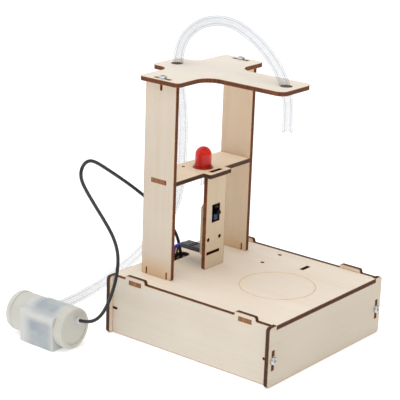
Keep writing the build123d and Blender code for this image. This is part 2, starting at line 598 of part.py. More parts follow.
def board_spacers():
    """Four round spacers between the board and the deck."""
    return [rod_z(x, y, BOARD_TOP, DECK_LOW, SPACER_R) - rod_z(x, y, BOARD_LOW, DECK_LOW - 0.6, SPACER_BORE_R)
            for x, y in SPACER_SPOTS]


def board_screws():
    """Four screws that hold the board to its spacers."""
    tip_z = BOARD_TOP + BOARD_SCREW_REACH
    return [rod_z(x, y, BOARD_LOW - BOARD_HEAD, BOARD_LOW, BOARD_HEAD_R)
            + rod_z(x, y, BOARD_LOW, tip_z, BOARD_SCREW_R) for x, y in SPACER_SPOTS]


def driver_chip():
    """Eight-legged chip on the board's underside."""
    leg_half_x, leg_half_y, leg_reach = 0.25, 0.6, 0.5
    chip = block(CHIP_X - CHIP_HALF_X, CHIP_X + CHIP_HALF_X, CHIP_Y - CHIP_HALF_Y, CHIP_Y + CHIP_HALF_Y,
                 BOARD_LOW - 4.0, BOARD_LOW - 0.6)
    for i in range(4):
        x = CHIP_X + (i - 1.5) * PIN_PITCH
        for side in (-1, 1):
            y = CHIP_Y + side * (CHIP_HALF_Y + leg_reach)
            chip += block(x - leg_half_x, x + leg_half_x, y - leg_half_y, y + leg_half_y,
                          BOARD_LOW - 2.6, BOARD_LOW)
    return chip


def power_transistor():
    """Pump transistor lying on the board, with its tab."""
    x0, x1 = TRANSISTOR_X - TRANSISTOR_HALF, TRANSISTOR_X + TRANSISTOR_HALF
    tab = block(x0, x1, TRANSISTOR_Y, TRANSISTOR_Y + 6.0, BOARD_LOW - 1.3, BOARD_LOW)
    tab -= rod_z(TRANSISTOR_X, TRANSISTOR_Y + 3.4, 0, BOARD_TOP, 1.8)
    return tab + block(x0, x1, TRANSISTOR_Y - 9.0, TRANSISTOR_Y, BOARD_LOW - 4.5, BOARD_LOW)


def capacitor():
    """Round capacitor on the board."""
    return rod_z(CAPACITOR_X, CAPACITOR_Y, BOARD_LOW - CAPACITOR_HEIGHT, BOARD_LOW, CAPACITOR_R)


def sensor_socket():
    """Socket on the board's underside, where the sensor's wires end."""
    return block(SOCKET_X0, SOCKET_X1, SOCKET_Y0, SOCKET_Y1, BOARD_LOW - SOCKET_DEEP, BOARD_LOW)


def pump_terminal():
    """Two-way screw terminal on the board's edge, where the pump's cable ends."""
    y, top = CABLE_ROUTE[-1][1:]
    low = BOARD_LOW - TERMINAL_DEEP
    body = block(TERMINAL_X0, TERMINAL_X1, BOARD_Y1, BOARD_Y1 + TERMINAL_LENGTH, low, top)
    middle, quarter = (TERMINAL_X0 + TERMINAL_X1) / 2, (TERMINAL_X1 - TERMINAL_X0) / 4
    for side in (-1, 1):
        body -= rod_z(middle + side * quarter, y, low - 1, low + 1.1, 1.5)
    return body


def switch_body():
    """Slide switch on the board's underside, with a window for its slider."""
    low = BOARD_LOW - SWITCH_DEEP
    body = block(SWITCH_X - SWITCH_HALF_X, SWITCH_X + SWITCH_HALF_X,
                 SWITCH_Y - SWITCH_HALF_Y, SWITCH_Y + SWITCH_HALF_Y, low, BOARD_LOW)
    return body - block(SWITCH_X - 2.6, SWITCH_X + 2.6, SWITCH_Y - 1.3, SWITCH_Y + 1.3, low - 1, low + 1.6)


def switch_slider():
    """Slider, stored at its off end."""
    x, low = SWITCH_X - SWITCH_TRAVEL / 2, BOARD_LOW - SWITCH_DEEP
    return block(x - 1.3, x + 1.3, SWITCH_Y - 1.1, SWITCH_Y + 1.1, low - 2.8, low + 1.5)


# ---------------------------------------------------------------- pump
def pump_rod(y0, y1, r):
    """Cylinder on the pump's axis."""
    return rod_y(PUMP_X, PUMP_Z, y0, y1, r)


def pump_case():
    """Translucent motor case: a cylinder on a square-sided block."""
    body = pump_rod(CASE_Y, VOLUTE_Y, PUMP_R - 0.4)
    body += block(PUMP_X - PUMP_R, PUMP_X + PUMP_R, CASE_Y, VOLUTE_Y, 0, BLOCK_TOP)
    body -= pump_rod(CASE_Y - 1, VOLUTE_Y - CASE_WALL, CASE_BORE_R)
    return body - pump_rod(VOLUTE_Y - CASE_WALL - 1, VOLUTE_Y + 1, WALL_BORE_R)


def pump_cap():
    """End cap with a raised rim, a spigot into the case and the cable's hole."""
    rim_width, rim_height, face, spigot, spigot_wall = 2.4, 0.5, 2.2, 1.2, 1.4
    disc = pump_rod(PUMP_FRONT_Y, CASE_Y, PUMP_R)
    disc = fillet(disc.edges().filter_by(GeomType.CIRCLE).sort_by(Axis.Y)[0], 1.0)
    disc -= pump_rod(PUMP_FRONT_Y - 1, PUMP_FRONT_Y + rim_height, PUMP_R - rim_width)
    disc += pump_rod(CASE_Y, CASE_Y + spigot, CASE_BORE_R)
    disc -= pump_rod(PUMP_FRONT_Y + face, CASE_Y + spigot + 1, CASE_BORE_R - spigot_wall)
    return disc - rod_y(GLAND_X, GLAND_Z, PUMP_FRONT_Y - 1, CASE_Y, GLAND_R)


def cable_gland():
    """Soft ring where the cable leaves the cap."""
    ring = rod_y(GLAND_X, GLAND_Z, PUMP_FRONT_Y - 1.0, PUMP_FRONT_Y + 2.2, GLAND_R)
    return ring - rod_y(GLAND_X, GLAND_Z, PUMP_FRONT_Y, PUMP_FRONT_Y + 3, 0.8)


def pump_volute():
    """Impeller chamber with the barbed outlet pipe."""
    floor = 1.2
    body = pump_rod(VOLUTE_Y, INLET_Y, PUMP_R - 0.5)
    body += rod_x(OUTLET_Y, OUTLET_Z, PUMP_X, TUBE_START_X, OUTLET_R)
    body += rod_x(OUTLET_Y, OUTLET_Z, TUBE_START_X - 1, TUBE_START_X + BARB_LENGTH, TUBE_BORE_R)
    body -= pump_rod(VOLUTE_Y + floor, INLET_Y + 1, CHAMBER_R)
    body -= pump_rod(VOLUTE_Y - 1, VOLUTE_Y + floor + 1, WALL_BORE_R)
    return body - rod_x(OUTLET_Y, OUTLET_Z, PUMP_X + 5, TUBE_START_X + BARB_LENGTH + 1, OUTLET_BORE_R)


def inlet_cover():
    """Front cover of the impeller chamber, with the water inlet."""
    face, lip = 1.6, 0.6
    disc = pump_rod(INLET_Y, PUMP_END_Y, PUMP_R - 0.3)
    disc = fillet(disc.edges().filter_by(GeomType.CIRCLE).sort_by(Axis.Y)[-1], 1.8)
    disc -= pump_rod(INLET_Y - 1, PUMP_END_Y - face, INLET_ROOM_R)
    disc += pump_rod(INLET_Y - lip, PUMP_END_Y - face, INLET_LIP_R)
    return disc - pump_rod(INLET_Y - lip - 1, PUMP_END_Y + 1, INLET_R)


def motor_can():
    """Steel can, closed towards the impeller."""
    can = pump_rod(CAN_Y0, CAN_Y1, CAN_R) - pump_rod(CAN_Y0 - 1, CAN_Y1 - CAN_END, CAN_R - CAN_WALL)
    return can - pump_rod(CAN_Y1 - 2, CAN_Y1 + 1, SEAL_R)


def motor_bell():
    """Moulded end of the motor, with the rear bearing."""
    bell = pump_rod(CAN_Y0 - 2.0, CAN_Y0, CAN_R) + pump_rod(CAN_Y0, CAN_Y0 + 1.2, CAN_R - CAN_WALL)
    return bell - pump_rod(CAN_Y0 - 1.0, CAN_Y0 + 2, SHAFT_R + RUNNING_GAP)


def motor_magnets():
    """Two curved magnets inside the can."""
    ring = pump_rod(CAN_Y0 + 2.0, CAN_Y1 - 2.5, CAN_R - CAN_WALL - 0.02)
    ring -= pump_rod(CAN_Y0, CAN_Y1, MAGNET_BORE_R)
    gap = block(PUMP_X - PUMP_R, PUMP_X + PUMP_R, CAN_Y0, CAN_Y1, PUMP_Z - MAGNET_GAP, PUMP_Z + MAGNET_GAP)
    return ring - gap


def shaft_seal():
    """Soft seal with a bush round the shaft, in the wall between motor and impeller."""
    end_y = VOLUTE_Y + 1.2
    seal = pump_rod(CAN_Y1 - CAN_END, end_y, SEAL_R) + pump_rod(CAN_Y1, end_y, WALL_BORE_R)
    return seal - pump_rod(CAN_Y1 - 3, end_y + 1, SHAFT_R + RUNNING_GAP)


def motor_shaft():
    """Steel shaft from the rear bearing to the impeller."""
    return pump_rod(CAN_Y0 - 0.8, INLET_Y - 2.2, SHAFT_R)


def about_shaft(y, count, spoke, shape):
    """count copies of a shape on spokes round the pump's axis, the shape's Z along the axis from y."""
    hub = Plane(origin=(PUMP_X, y, PUMP_Z), x_dir=(1, 0, 0), z_dir=(0, 1, 0))
    return [hub * Rot(0, 0, 360 / count * i) * Pos(spoke, 0, 0) * shape for i in range(count)]


def motor_rotor():
    """Wound rotor on the shaft, with a gap between its poles."""
    rotor = pump_rod(CAN_Y0 + 3.5, CAN_Y1 - 3.5, ROTOR_R)
    for gap in about_shaft((CAN_Y0 + CAN_Y1) / 2, ROTOR_POLES, 5.6, Box(3.4, 1.2, CASE_LENGTH)):
        rotor -= gap
    return rotor - motor_shaft()


def impeller():
    """Open impeller with straight blades."""
    back, blade_height, blade_length, blade_width = 1.0, 4.0, 5.6, 0.9
    y0 = VOLUTE_Y + 2.0
    wheel = pump_rod(y0, y0 + back, IMPELLER_R) + pump_rod(y0, y0 + blade_height + 0.2, HUB_R)
    blade = Box(blade_length, blade_width, blade_height)
    for copy in about_shaft(y0 + blade_height / 2, BLADES, HUB_R - 0.6 + blade_length / 2, blade):
        wheel += copy
    return wheel - motor_shaft()


# ---------------------------------------------------------------- write the nodes
def main():
    os.makedirs("parts", exist_ok=True)
    save("deck", deck())
    save("front_panel", end_panel(-HALF_L))
    save("back_panel", end_panel(HALF_L - PLY))
    save("left_side_panel", side_panel(-SIDE_OUT))
    save("right_side_panel", side_panel(SIDE_IN))
    save("left_column", column(-COLUMN_X))
    save("right_column", column(COLUMN_IN))
    save("shelf", shelf())
    save("top_plate", top_plate())
    save("sensor_panel", sensor_panel())

    base_screws = []
    for side in (-1, 1):
        base_screws.append(screw((side * SIDE_MID, -HALF_L, SCREW_Z), (0, 1, 0)))
        base_screws.append(screw((side * SIDE_MID, HALF_L, SCREW_Z), (0, -1, 0)))
    save("base_screws", base_screws)
    save("top_screws", both(lambda s: screw((s * COLUMN_MID, COLUMN_Y, TOP_Z), (0, 0, -1))))

    save("led_lens", led_lens())
    save("led_leads", led_leads())

    save("sensor_board", sensor_board())
    save("sensor_pad", sensor_pad())
    save("ir_emitter", eye(EMITTER_X, EMITTER_Z, EMITTER_REACH))
    save("ir_receiver", eye(RECEIVER_X, RECEIVER_Z, RECEIVER_REACH))
    save("trimmer_body", trimmer_body())
    save("trimmer_rotor", trimmer_rotor())
    save("pin_header", pin_header())
    save("header_pins", header_pins())
    save("sensor_plug", sensor_plug())

    save("battery_holder", battery_holder())
    save("batteries", batteries())
    save("contact_plates", contact_plates())
    save("contact_springs", contact_springs())
    save("control_board", control_board())
    save("board_spacers", board_spacers())
    save("board_screws", board_screws())
    save("driver_chip", driver_chip())
    save("power_transistor", power_transistor())
    save("capacitor", capacitor())
    save("sensor_socket", sensor_socket())
    save("pump_terminal", pump_terminal())
    save("switch_body", switch_body())
    save("switch_slider", switch_slider())

    save("pump_case", pump_case())
    save("pump_cap", pump_cap())
    save("cable_gland", cable_gland())
    save("pump_volute", pump_volute())
    save("inlet_cover", inlet_cover())
    save("motor_can", motor_can())
    save("motor_bell", motor_bell())
    save("motor_magnets", motor_magnets())
    save("shaft_seal", shaft_seal())
    save("motor_shaft", motor_shaft())
    save("motor_rotor", motor_rotor())
    save("impeller", impeller())

    soft_line("water_tube", TUBE_ROUTE, TUBE_R, TUBE_BORE_R)
    soft_line("pump_cable", CABLE_ROUTE, CABLE_R)
    for name, pin_x in zip(("wire_left", "wire_middle", "wire_right"), PIN_XS):
        soft_line(name, [(x + pin_x, y, z) for x, y, z in WIRE_LEAD], WIRE_R)


main()
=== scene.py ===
"""Looks of the automatic water dispenser kit: plywood stand, lamp, sensor, pump, tube and cables.

Metres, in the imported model's own frame: +Z up, the front faces -Y, origin under the base's middle.
"""

import json
from math import cos, pi, radians, sin

import bmesh
import bpy
from mathutils import Matrix, Vector


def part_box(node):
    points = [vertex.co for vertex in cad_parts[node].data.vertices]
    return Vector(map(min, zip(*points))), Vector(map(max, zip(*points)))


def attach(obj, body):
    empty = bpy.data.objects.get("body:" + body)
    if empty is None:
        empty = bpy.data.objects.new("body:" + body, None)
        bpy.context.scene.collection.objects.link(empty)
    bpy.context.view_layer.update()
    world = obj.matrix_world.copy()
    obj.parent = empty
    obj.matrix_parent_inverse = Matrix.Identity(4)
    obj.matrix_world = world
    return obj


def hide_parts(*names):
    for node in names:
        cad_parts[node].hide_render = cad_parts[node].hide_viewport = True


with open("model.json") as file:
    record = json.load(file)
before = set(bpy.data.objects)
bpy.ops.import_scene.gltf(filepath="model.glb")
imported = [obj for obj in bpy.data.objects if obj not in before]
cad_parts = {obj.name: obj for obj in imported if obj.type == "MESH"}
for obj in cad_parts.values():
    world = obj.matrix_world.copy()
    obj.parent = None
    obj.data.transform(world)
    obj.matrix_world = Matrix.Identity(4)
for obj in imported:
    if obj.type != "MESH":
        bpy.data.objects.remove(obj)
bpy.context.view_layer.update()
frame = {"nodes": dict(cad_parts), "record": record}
BODY_OF = {n: body for body, members in frame["record"]["behaviour"]["bodies"].items() for n in members}
MM = 0.001
X, Y, Z = 0, 1, 2
DECK_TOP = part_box("deck")[1].z
PLATE_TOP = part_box("top_plate")[1].z


# ---------------------------------------------------------------- camera
CAMERA_AZIMUTH, CAMERA_ELEVATION, CAMERA_ROLL = -52.02, 17.69, 2.07  # degrees
BASE_RIGHT, BASE_DOWN, BASE_AWAY = 0.0254, 0.0776, 0.9060  # the frame's origin, seen from the camera
LENS, SENSOR = 137.9, 36.0  # millimetres
NEAREST, FARTHEST = 0.05, 50.0


def make_camera():
    """Camera turned by its three angles and placed by where the base lies in its view."""
    azimuth, elevation, roll = radians(CAMERA_AZIMUTH), radians(CAMERA_ELEVATION), radians(CAMERA_ROLL)
    forward = Vector((-sin(azimuth) * cos(elevation), cos(azimuth) * cos(elevation), -sin(elevation)))
    level = forward.cross(Vector((0, 0, 1))).normalized()
    raised = level.cross(forward)
    right = level * cos(roll) + raised * sin(roll)
    up = raised * cos(roll) - level * sin(roll)
    place = -(right * BASE_RIGHT - up * BASE_DOWN + forward * BASE_AWAY)
    data = bpy.data.cameras.new("camera")
    data.lens, data.sensor_width = LENS, SENSOR
    data.clip_start, data.clip_end = NEAREST, FARTHEST
    camera = bpy.data.objects.new("camera", data)
    bpy.context.scene.collection.objects.link(camera)
    turn = Matrix((right, up, -forward)).transposed().to_4x4()
    camera.matrix_world = Matrix.Translation(place) @ turn
    bpy.context.scene.camera = camera


make_camera()


def new_object(name, data):
    """Links a mesh or curve to the scene."""
    piece = bpy.data.objects.new(name, data)
    bpy.context.scene.collection.objects.link(piece)
    return piece


def stand_for(piece, node, material):
    """The piece rides on the node's body, replaces it and takes its slot."""
    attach(piece, BODY_OF[node])
    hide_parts(node)
    piece.data.materials.append(material)


# ---------------------------------------------------------------- materials: node helpers
def srgb(r, g, b):
    """Linear colour from 0 to 255 display values."""
    def linear(v):
        v /= 255
        return v / 12.92 if v <= 0.04045 else ((v + 0.055) / 1.055) ** 2.4
    return (linear(r), linear(g), linear(b), 1)


def grey(value):
    """The same linear value in all three channels."""
    return (value, value, value, 1)


def shade(colour, factor, lift=0.0):
    """The colour made darker or brighter, in linear values."""
    return [min(1, c * factor + lift) for c in colour[:3]] + [1]


MIX_SHARE, MIX_A, MIX_B, MIX_RESULT = 0, 6, 7, 2  # the colour sockets of a Mix node


class Look:
    """A Principled material under construction, its patterns in the frame's own coordinates."""

    def __init__(self, name, **sockets):
        self.material = bpy.data.materials.new(name)
        self.material.use_nodes = True
        self.tree = self.material.node_tree
        self.shader = self.tree.nodes["Principled BSDF"]
        self.place = self.tree.nodes.new("ShaderNodeTexCoord").outputs["Object"]
        for key, value in sockets.items():
            self.shader.inputs[key.replace("_", " ")].default_value = value

    def wire(self, socket, value):
        """Sets a socket to a plain value, or links an output to it."""
        if isinstance(value, bpy.types.NodeSocket):
            self.tree.links.new(value, socket)
        else:
            socket.default_value = value

    def drive(self, **sockets):
        """Links outputs to the shader's sockets."""
        for key, value in sockets.items():
            self.wire(self.shader.inputs[key.replace("_", " ")], value)
        return self.material

    def stretched(self, scale, shift=(0, 0, 0)):
        """Coordinates scaled along each axis, in cells to a metre."""
        node = self.tree.nodes.new("ShaderNodeMapping")
        self.wire(node.inputs["Vector"], self.place)
        node.inputs["Scale"].default_value = scale
        node.inputs["Location"].default_value = shift
        return node.outputs["Vector"]

    def noise(self, vector, detail=3.0, rough=0.55, distortion=0.0):
        """Fractal noise over coordinates that are already scaled."""
        node = self.tree.nodes.new("ShaderNodeTexNoise")
        self.wire(node.inputs["Vector"], vector)
        node.inputs["Scale"].default_value = 1.0
        node.inputs["Detail"].default_value = detail
        node.inputs["Roughness"].default_value = rough
        node.inputs["Distortion"].default_value = distortion
        return node.outputs["Fac"]

    def speckle(self, cells, detail=3.0, shift=(0, 0, 0)):
        """The same noise along every axis, in cells to a metre."""
        return self.noise(self.stretched((cells, cells, cells), shift), detail=detail)

    def ramp(self, value, stops):
        """Colour by value, from (place, colour) stops."""
        node = self.tree.nodes.new("ShaderNodeValToRGB")
        self.wire(node.inputs["Fac"], value)
        while len(node.color_ramp.elements) < len(stops):
            node.color_ramp.elements.new(0.5)
        for element, (at, colour) in zip(node.color_ramp.elements, stops):
            element.position = at
            element.color = colour
        return node.outputs["Color"]

    def span(self, value, low, high, to_low=0.0, to_high=1.0):
        """Value moved from one range to another and held inside it."""
        node = self.tree.nodes.new("ShaderNodeMapRange")
        for key, amount in zip(("Value", "From Min", "From Max", "To Min", "To Max"),
                               (value, low, high, to_low, to_high)):
            self.wire(node.inputs[key], amount)
        return node.outputs["Result"]

    def math(self, operation, a, b=0.0):
        """Result of one operation on numbers or outputs."""
        node = self.tree.nodes.new("ShaderNodeMath")
        node.operation = operation
        self.wire(node.inputs[0], a)
        self.wire(node.inputs[1], b)
        return node.outputs["Value"]

    def mix(self, share, a, b):
        """Colour between a and b."""
        node = self.tree.nodes.new("ShaderNodeMix")
        node.data_type = "RGBA"
        self.wire(node.inputs[MIX_SHARE], share)
        self.wire(node.inputs[MIX_A], a)
        self.wire(node.inputs[MIX_B], b)
        return node.outputs[MIX_RESULT]

    def axis(self, index):
        """One coordinate, in metres."""
        node = self.tree.nodes.new("ShaderNodeSeparateXYZ")
        self.wire(node.inputs[0], self.place)
        return node.outputs[index]

    def attribute(self, name):
        """A number stored on the mesh's points."""
        node = self.tree.nodes.new("ShaderNodeAttribute")
        node.attribute_name = name
        return node.outputs["Fac"]

    def ring(self, centre, radius, half_width):
        """1 on a circle round a vertical axis, falling to 0 half_width away."""
        dx = self.math("SUBTRACT", self.axis(X), centre[0])
        dy = self.math("SUBTRACT", self.axis(Y), centre[1])
        squares = self.math("ADD", self.math("MULTIPLY", dx, dx), self.math("MULTIPLY", dy, dy))
        off = self.math("ABSOLUTE", self.math("SUBTRACT", self.math("SQRT", squares), radius))
        return self.span(off, 0.0, half_width, 1.0, 0.0)

    def inside(self, index, low, high, soft=0.05 * MM):
        """1 where a coordinate lies between low and high."""
        above = self.span(self.axis(index), low - soft, low + soft)
        below = self.span(self.axis(index), high - soft, high + soft, 1.0, 0.0)
        return self.math("MULTIPLY", above, below)

    def bump(self, height, distance, strength=1.0):
        """Normal tilted by a height, whose full range stands for a distance in metres."""
        node = self.tree.nodes.new("ShaderNodeBump")
        node.inputs["Strength"].default_value = strength
        node.inputs["Distance"].default_value = distance
        self.wire(node.inputs["Height"], height)
        return node.outputs["Normal"]


# ---------------------------------------------------------------- cords
TUBE_D, TUBE_BORE_D, CABLE_D, WIRE_D = 0.006, 0.004, 0.002, 0.0012
TUBE_ROUTE = [
    (-0.0735, 0.0900, 0.0095),
    (-0.0570, 0.0903, 0.0093),
    (-0.0390, 0.0908, 0.0102),
    (-0.0225, 0.0900, 0.0136),
    (-0.0085, 0.0866, 0.0210),
    (0.0032, 0.0800, 0.0325),
    (0.0090, 0.0715, 0.0460),
    (0.0100, 0.0630, 0.0605),
    (0.0084, 0.0578, 0.0765),
    (0.0078, 0.0566, 0.0950),
    (0.0084, 0.0569, 0.1140),
    (0.0056, 0.0572, 0.1330),
    (0.0009, 0.0568, 0.1480),
    (0.0000, 0.0546, 0.1640),
    (0.0000, 0.0452, 0.1756),
    (0.0000, 0.0310, 0.1820),
    (0.0000, 0.0155, 0.1822),
    (0.0000, 0.0010, 0.1758),
    (0.0000, -0.0110, 0.1668),
    (0.0000, -0.0193, 0.1565),
    (0.0000, -0.0232, 0.1465),
    (0.0000, -0.0242, 0.1366),
    (0.0000, -0.0242, 0.1268),
]
CABLE_ROUTE = [
    (-0.0840, 0.0535, 0.0167),
    (-0.0832, 0.0470, 0.0170),
    (-0.0789, 0.0429, 0.0199),
    (-0.0720, 0.0429, 0.0262),
    (-0.0656, 0.0442, 0.0346),
    (-0.0614, 0.0454, 0.0436),
    (-0.0604, 0.0463, 0.0532),
    (-0.0636, 0.0472, 0.0634),
    (-0.0704, 0.0482, 0.0745),
    (-0.0776, 0.0492, 0.0852),
    (-0.0842, 0.0503, 0.0956),
    (-0.0872, 0.0509, 0.1020),
    (-0.0869, 0.0513, 0.1069),
    (-0.0834, 0.0516, 0.1104),
    (-0.0782, 0.0519, 0.1106),
    (-0.0718, 0.0521, 0.1074),
    (-0.0632, 0.0523, 0.1018),
    (-0.0502, 0.0526, 0.0932),
    (-0.0364, 0.0528, 0.0834),
    (-0.0236, 0.0528, 0.0734),
    (-0.0118, 0.0525, 0.0618),
    (-0.0018, 0.0523, 0.0506),
    (0.0032, 0.0522, 0.0394),
    (0.0042, 0.0516, 0.0290),
]
WIRE_LEAD = [  # X from the wire's own pin
    (0.0000, 0.0449, 0.0444),
    (-0.0003, 0.0485, 0.0439),
    (-0.0010, 0.0511, 0.0408),
    (-0.0017, 0.0519, 0.0362),
    (-0.0022, 0.0520, 0.0309),
    (-0.0024, 0.0510, 0.0259),
    (-0.0026, 0.0477, 0.0230),
    (-0.0026, 0.0432, 0.0226),
]
PLUG_X, PIN_PITCH = -0.0015, 0.00254
STEPS_A_STRETCH = 16  # of the smooth line, from one control point to the next


def centreline(points):
    """Points along the smooth NURBS line whose control points are the route's."""
    data = bpy.data.curves.new("bare", "CURVE")
    data.dimensions = "3D"
    data.resolution_u = STEPS_A_STRETCH
    spline = data.splines.new("NURBS")
    spline.points.add(len(points) - 1)
    for point, place in zip(spline.points, points):
        point.co = (*place, 1.0)
    spline.order_u = 3
    spline.use_endpoint_u = True
    bare = bpy.data.objects.new("bare", data)
    mesh = bpy.data.meshes.new_from_object(bare)
    line = [v.co.copy() for v in mesh.vertices]
    bpy.data.objects.remove(bare)
    bpy.data.meshes.remove(mesh)
    return line


def carried_frames(line):
    """(place, across, over) along a line, without twist."""
    frames = []
    across = (line[1] - line[0]).orthogonal()
    for i, place in enumerate(line):
        along_it = (line[min(i + 1, len(line) - 1)] - line[max(i - 1, 0)]).normalized()
        across = (across - along_it * across.dot(along_it)).normalized()
        frames.append((place, across, along_it.cross(across)))
    return frames


def bridge(bm, one, two):
    """Faces between two rings of vertices."""
    sides = len(one)
    for k in range(sides):
        bm.faces.new((one[k], one[(k + 1) % sides], two[(k + 1) % sides], two[k]))


def wall_rings(bm, frames, radius, sides):
    """Round wall along the frames; returns its rings of vertices."""
    turns = [2 * pi * k / sides for k in range(sides)]
    rings = [[bm.verts.new(place + (across * cos(t) + over * sin(t)) * radius) for t in turns]
             for place, across, over in frames]
    for one, two in zip(rings, rings[1:]):
        bridge(bm, one, two)
    return rings


def cord_mesh(name, line, diameter, bore=0.0, sides=28):
    """Round cord with square-cut ends; hollow if it has a bore."""
    bm = bmesh.new()
    frames = carried_frames(line)
    outer = wall_rings(bm, frames, diameter / 2, sides)
    inner = wall_rings(bm, frames, bore / 2, sides) if bore else None
    for end in (0, -1):
        if bore:
            bridge(bm, outer[end], inner[end])
        else:
            bm.faces.new(outer[end])
    bmesh.ops.recalc_face_normals(bm, faces=bm.faces)
    return finished_mesh(name, bm, 40)


def finished_mesh(name, bm, sharp_degrees):
    """Mesh from a bmesh, smooth but for edges sharper than that."""
    mesh = bpy.data.meshes.new(name)
    bm.to_mesh(mesh)
    bm.free()
    mesh.shade_smooth()
    mesh.set_sharp_from_angle(angle=radians(sharp_degrees))
    return mesh


def rubber(name, colour, roughness):
    """Satin cable jacket with faint drawing marks."""
    look = Look(name, Roughness=roughness, Specular_IOR_Level=0.5)
    marks = look.speckle(1400, detail=2.0)
    tone = look.mix(look.span(marks, 0.3, 0.7), colour, shade(colour, 1.5, 0.004))
    gloss = look.span(marks, 0.3, 0.7, roughness - 0.06, roughness + 0.08)
    return look.drive(Base_Color=tone, Roughness=gloss, Normal=look.bump(marks, 0.04 * MM))


def clear_hose():
    """Clear soft tube with a faint haze: thin to look through, denser and greyer where its wall is seen edge
    on, partly from the longer path through the hazy wall and partly as painted shade for the darker
    surroundings that the curved wall refracts.
    """
    look = Look("clear_hose", Base_Color=srgb(160, 167, 178), IOR=1.46, Specular_IOR_Level=0.8)
    weight = look.tree.nodes.new("ShaderNodeLayerWeight")
    weight.inputs["Blend"].default_value = 0.5
    haze = look.speckle(200, detail=2.0)
    # grey by facing: partly the haze, partly painted shade for what the curved wall refracts
    wall = look.ramp(weight.outputs["Facing"],
                     [(0.0, grey(0.10)), (0.45, grey(0.16)), (0.75, grey(0.50)), (1.0, grey(0.95))])
    return look.drive(Alpha=look.math("ADD", wall, look.span(haze, 0.4, 0.75, 0.0, 0.02)),
                      Roughness=look.span(haze, 0.4, 0.7, 0.05, 0.14))


def lay_cord(name, node, points, material, diameter, bore=0.0):
    """A cord along a route."""
    line = centreline(points)
    cord = new_object(name, cord_mesh(name, line, diameter, bore))
    stand_for(cord, node, material)


def make_cords():
    """The water tube, the pump's cable and the sensor's three wires."""
    lay_cord("clear_water_tube", "water_tube", TUBE_ROUTE, clear_hose(),
             TUBE_D, TUBE_BORE_D)
    lay_cord("black_pump_cable", "pump_cable", CABLE_ROUTE, rubber("cable_jacket", srgb(24, 24, 26), 0.34),
             CABLE_D)
    tones = {"wire_left": srgb(30, 62, 190), "wire_middle": srgb(88, 44, 120), "wire_right": srgb(30, 28, 32)}
    for i, (node, colour) in enumerate(tones.items()):
        shift = PLUG_X + (i - 1) * PIN_PITCH
        points = [(x + shift, y, z) for x, y, z in WIRE_LEAD]
        lay_cord("sensor_" + node, node, points, rubber("jacket_" + node, colour, 0.4),
                 WIRE_D)


make_cords()


# ---------------------------------------------------------------- light and floor
GLOW_TOWARDS = Vector((-0.16, 0.46, 0.87)).normalized()  # above and behind, a little to the left
GLOW_TURN_LOW, GLOW_TURN_HIGH = -0.3, 1.0  # cosines of the turn away from there
GLOW_LEAST, GLOW_MOST = 0.16, 1.22
LIGHT_TARGET = (0, 0, 0.06)
FLOOR_HALF, FLOOR_DROP, FLOOR_GLOW = 8.0, 0.2 * MM, 0.34


def make_world():
    """Bright room: plain white to the eye; as light, brightest from above and behind."""
    world = bpy.data.worlds.new("studio")
    world.use_nodes = True
    tree = world.node_tree
    tree.nodes.clear()
    link = tree.links.new
    direction = tree.nodes.new("ShaderNodeTexCoord").outputs["Generated"]
    towards = tree.nodes.new("ShaderNodeVectorMath")
    towards.operation = "DOT_PRODUCT"
    towards.inputs[1].default_value = GLOW_TOWARDS
    link(direction, towards.inputs[0])
    glow = tree.nodes.new("ShaderNodeMapRange")
    for key, amount in zip(("From Min", "From Max", "To Min", "To Max"),
                           (GLOW_TURN_LOW, GLOW_TURN_HIGH, GLOW_LEAST, GLOW_MOST)):
        glow.inputs[key].default_value = amount
    link(towards.outputs["Value"], glow.inputs["Value"])
    seen = tree.nodes.new("ShaderNodeBackground")
    lit = tree.nodes.new("ShaderNodeBackground")
    for background in (seen, lit):
        background.inputs["Color"].default_value = (1, 1, 1, 1)
    link(glow.outputs["Result"], lit.inputs["Strength"])
    path = tree.nodes.new("ShaderNodeLightPath")
    through = tree.nodes.new("ShaderNodeMath")
    through.operation = "MAXIMUM"
    link(path.outputs["Is Camera Ray"], through.inputs[0])
    link(path.outputs["Is Transmission Ray"], through.inputs[1])
    mix = tree.nodes.new("ShaderNodeMixShader")
    link(through.outputs[0], mix.inputs[0])
    link(lit.outputs[0], mix.inputs[1])
    link(seen.outputs[0], mix.inputs[2])
    out = tree.nodes.new("ShaderNodeOutputWorld")
    link(mix.outputs[0], out.inputs["Surface"])
    bpy.context.scene.world = world


def area_light(name, place, size, power):
    """Soft square light that looks at the stand's middle."""
    data = bpy.data.lights.new(name, "AREA")
    data.shape, data.size, data.energy = "SQUARE", size, power
    lamp = new_object(name, data)
    lamp.location = place
    lamp.rotation_euler = (Vector(LIGHT_TARGET) - Vector(place)).to_track_quat("-Z", "Y").to_euler()


def make_floor():
    """Plain white table that gives off a little light, so that it stays white under the stand."""
    bm = bmesh.new()
    bmesh.ops.create_grid(bm, x_segments=1, y_segments=1, size=FLOOR_HALF)
    floor = new_object("floor", finished_mesh("floor", bm, 30))
    floor.location.z = -FLOOR_DROP
    look = Look("white_table", Base_Color=(0.9, 0.9, 0.9, 1), Roughness=0.9, Specular_IOR_Level=0.1,
                Emission_Color=(1, 1, 1, 1), Emission_Strength=FLOOR_GLOW)
    floor.data.materials.append(look.material)


make_world()
area_light("key", (-0.30, -0.08, 1.40), size=1.0, power=4.5)
area_light("front_fill", (-0.10, -1.20, 0.80), size=1.2, power=2.2)
make_floor()
bpy.context.scene.view_settings.view_transform = "Standard"
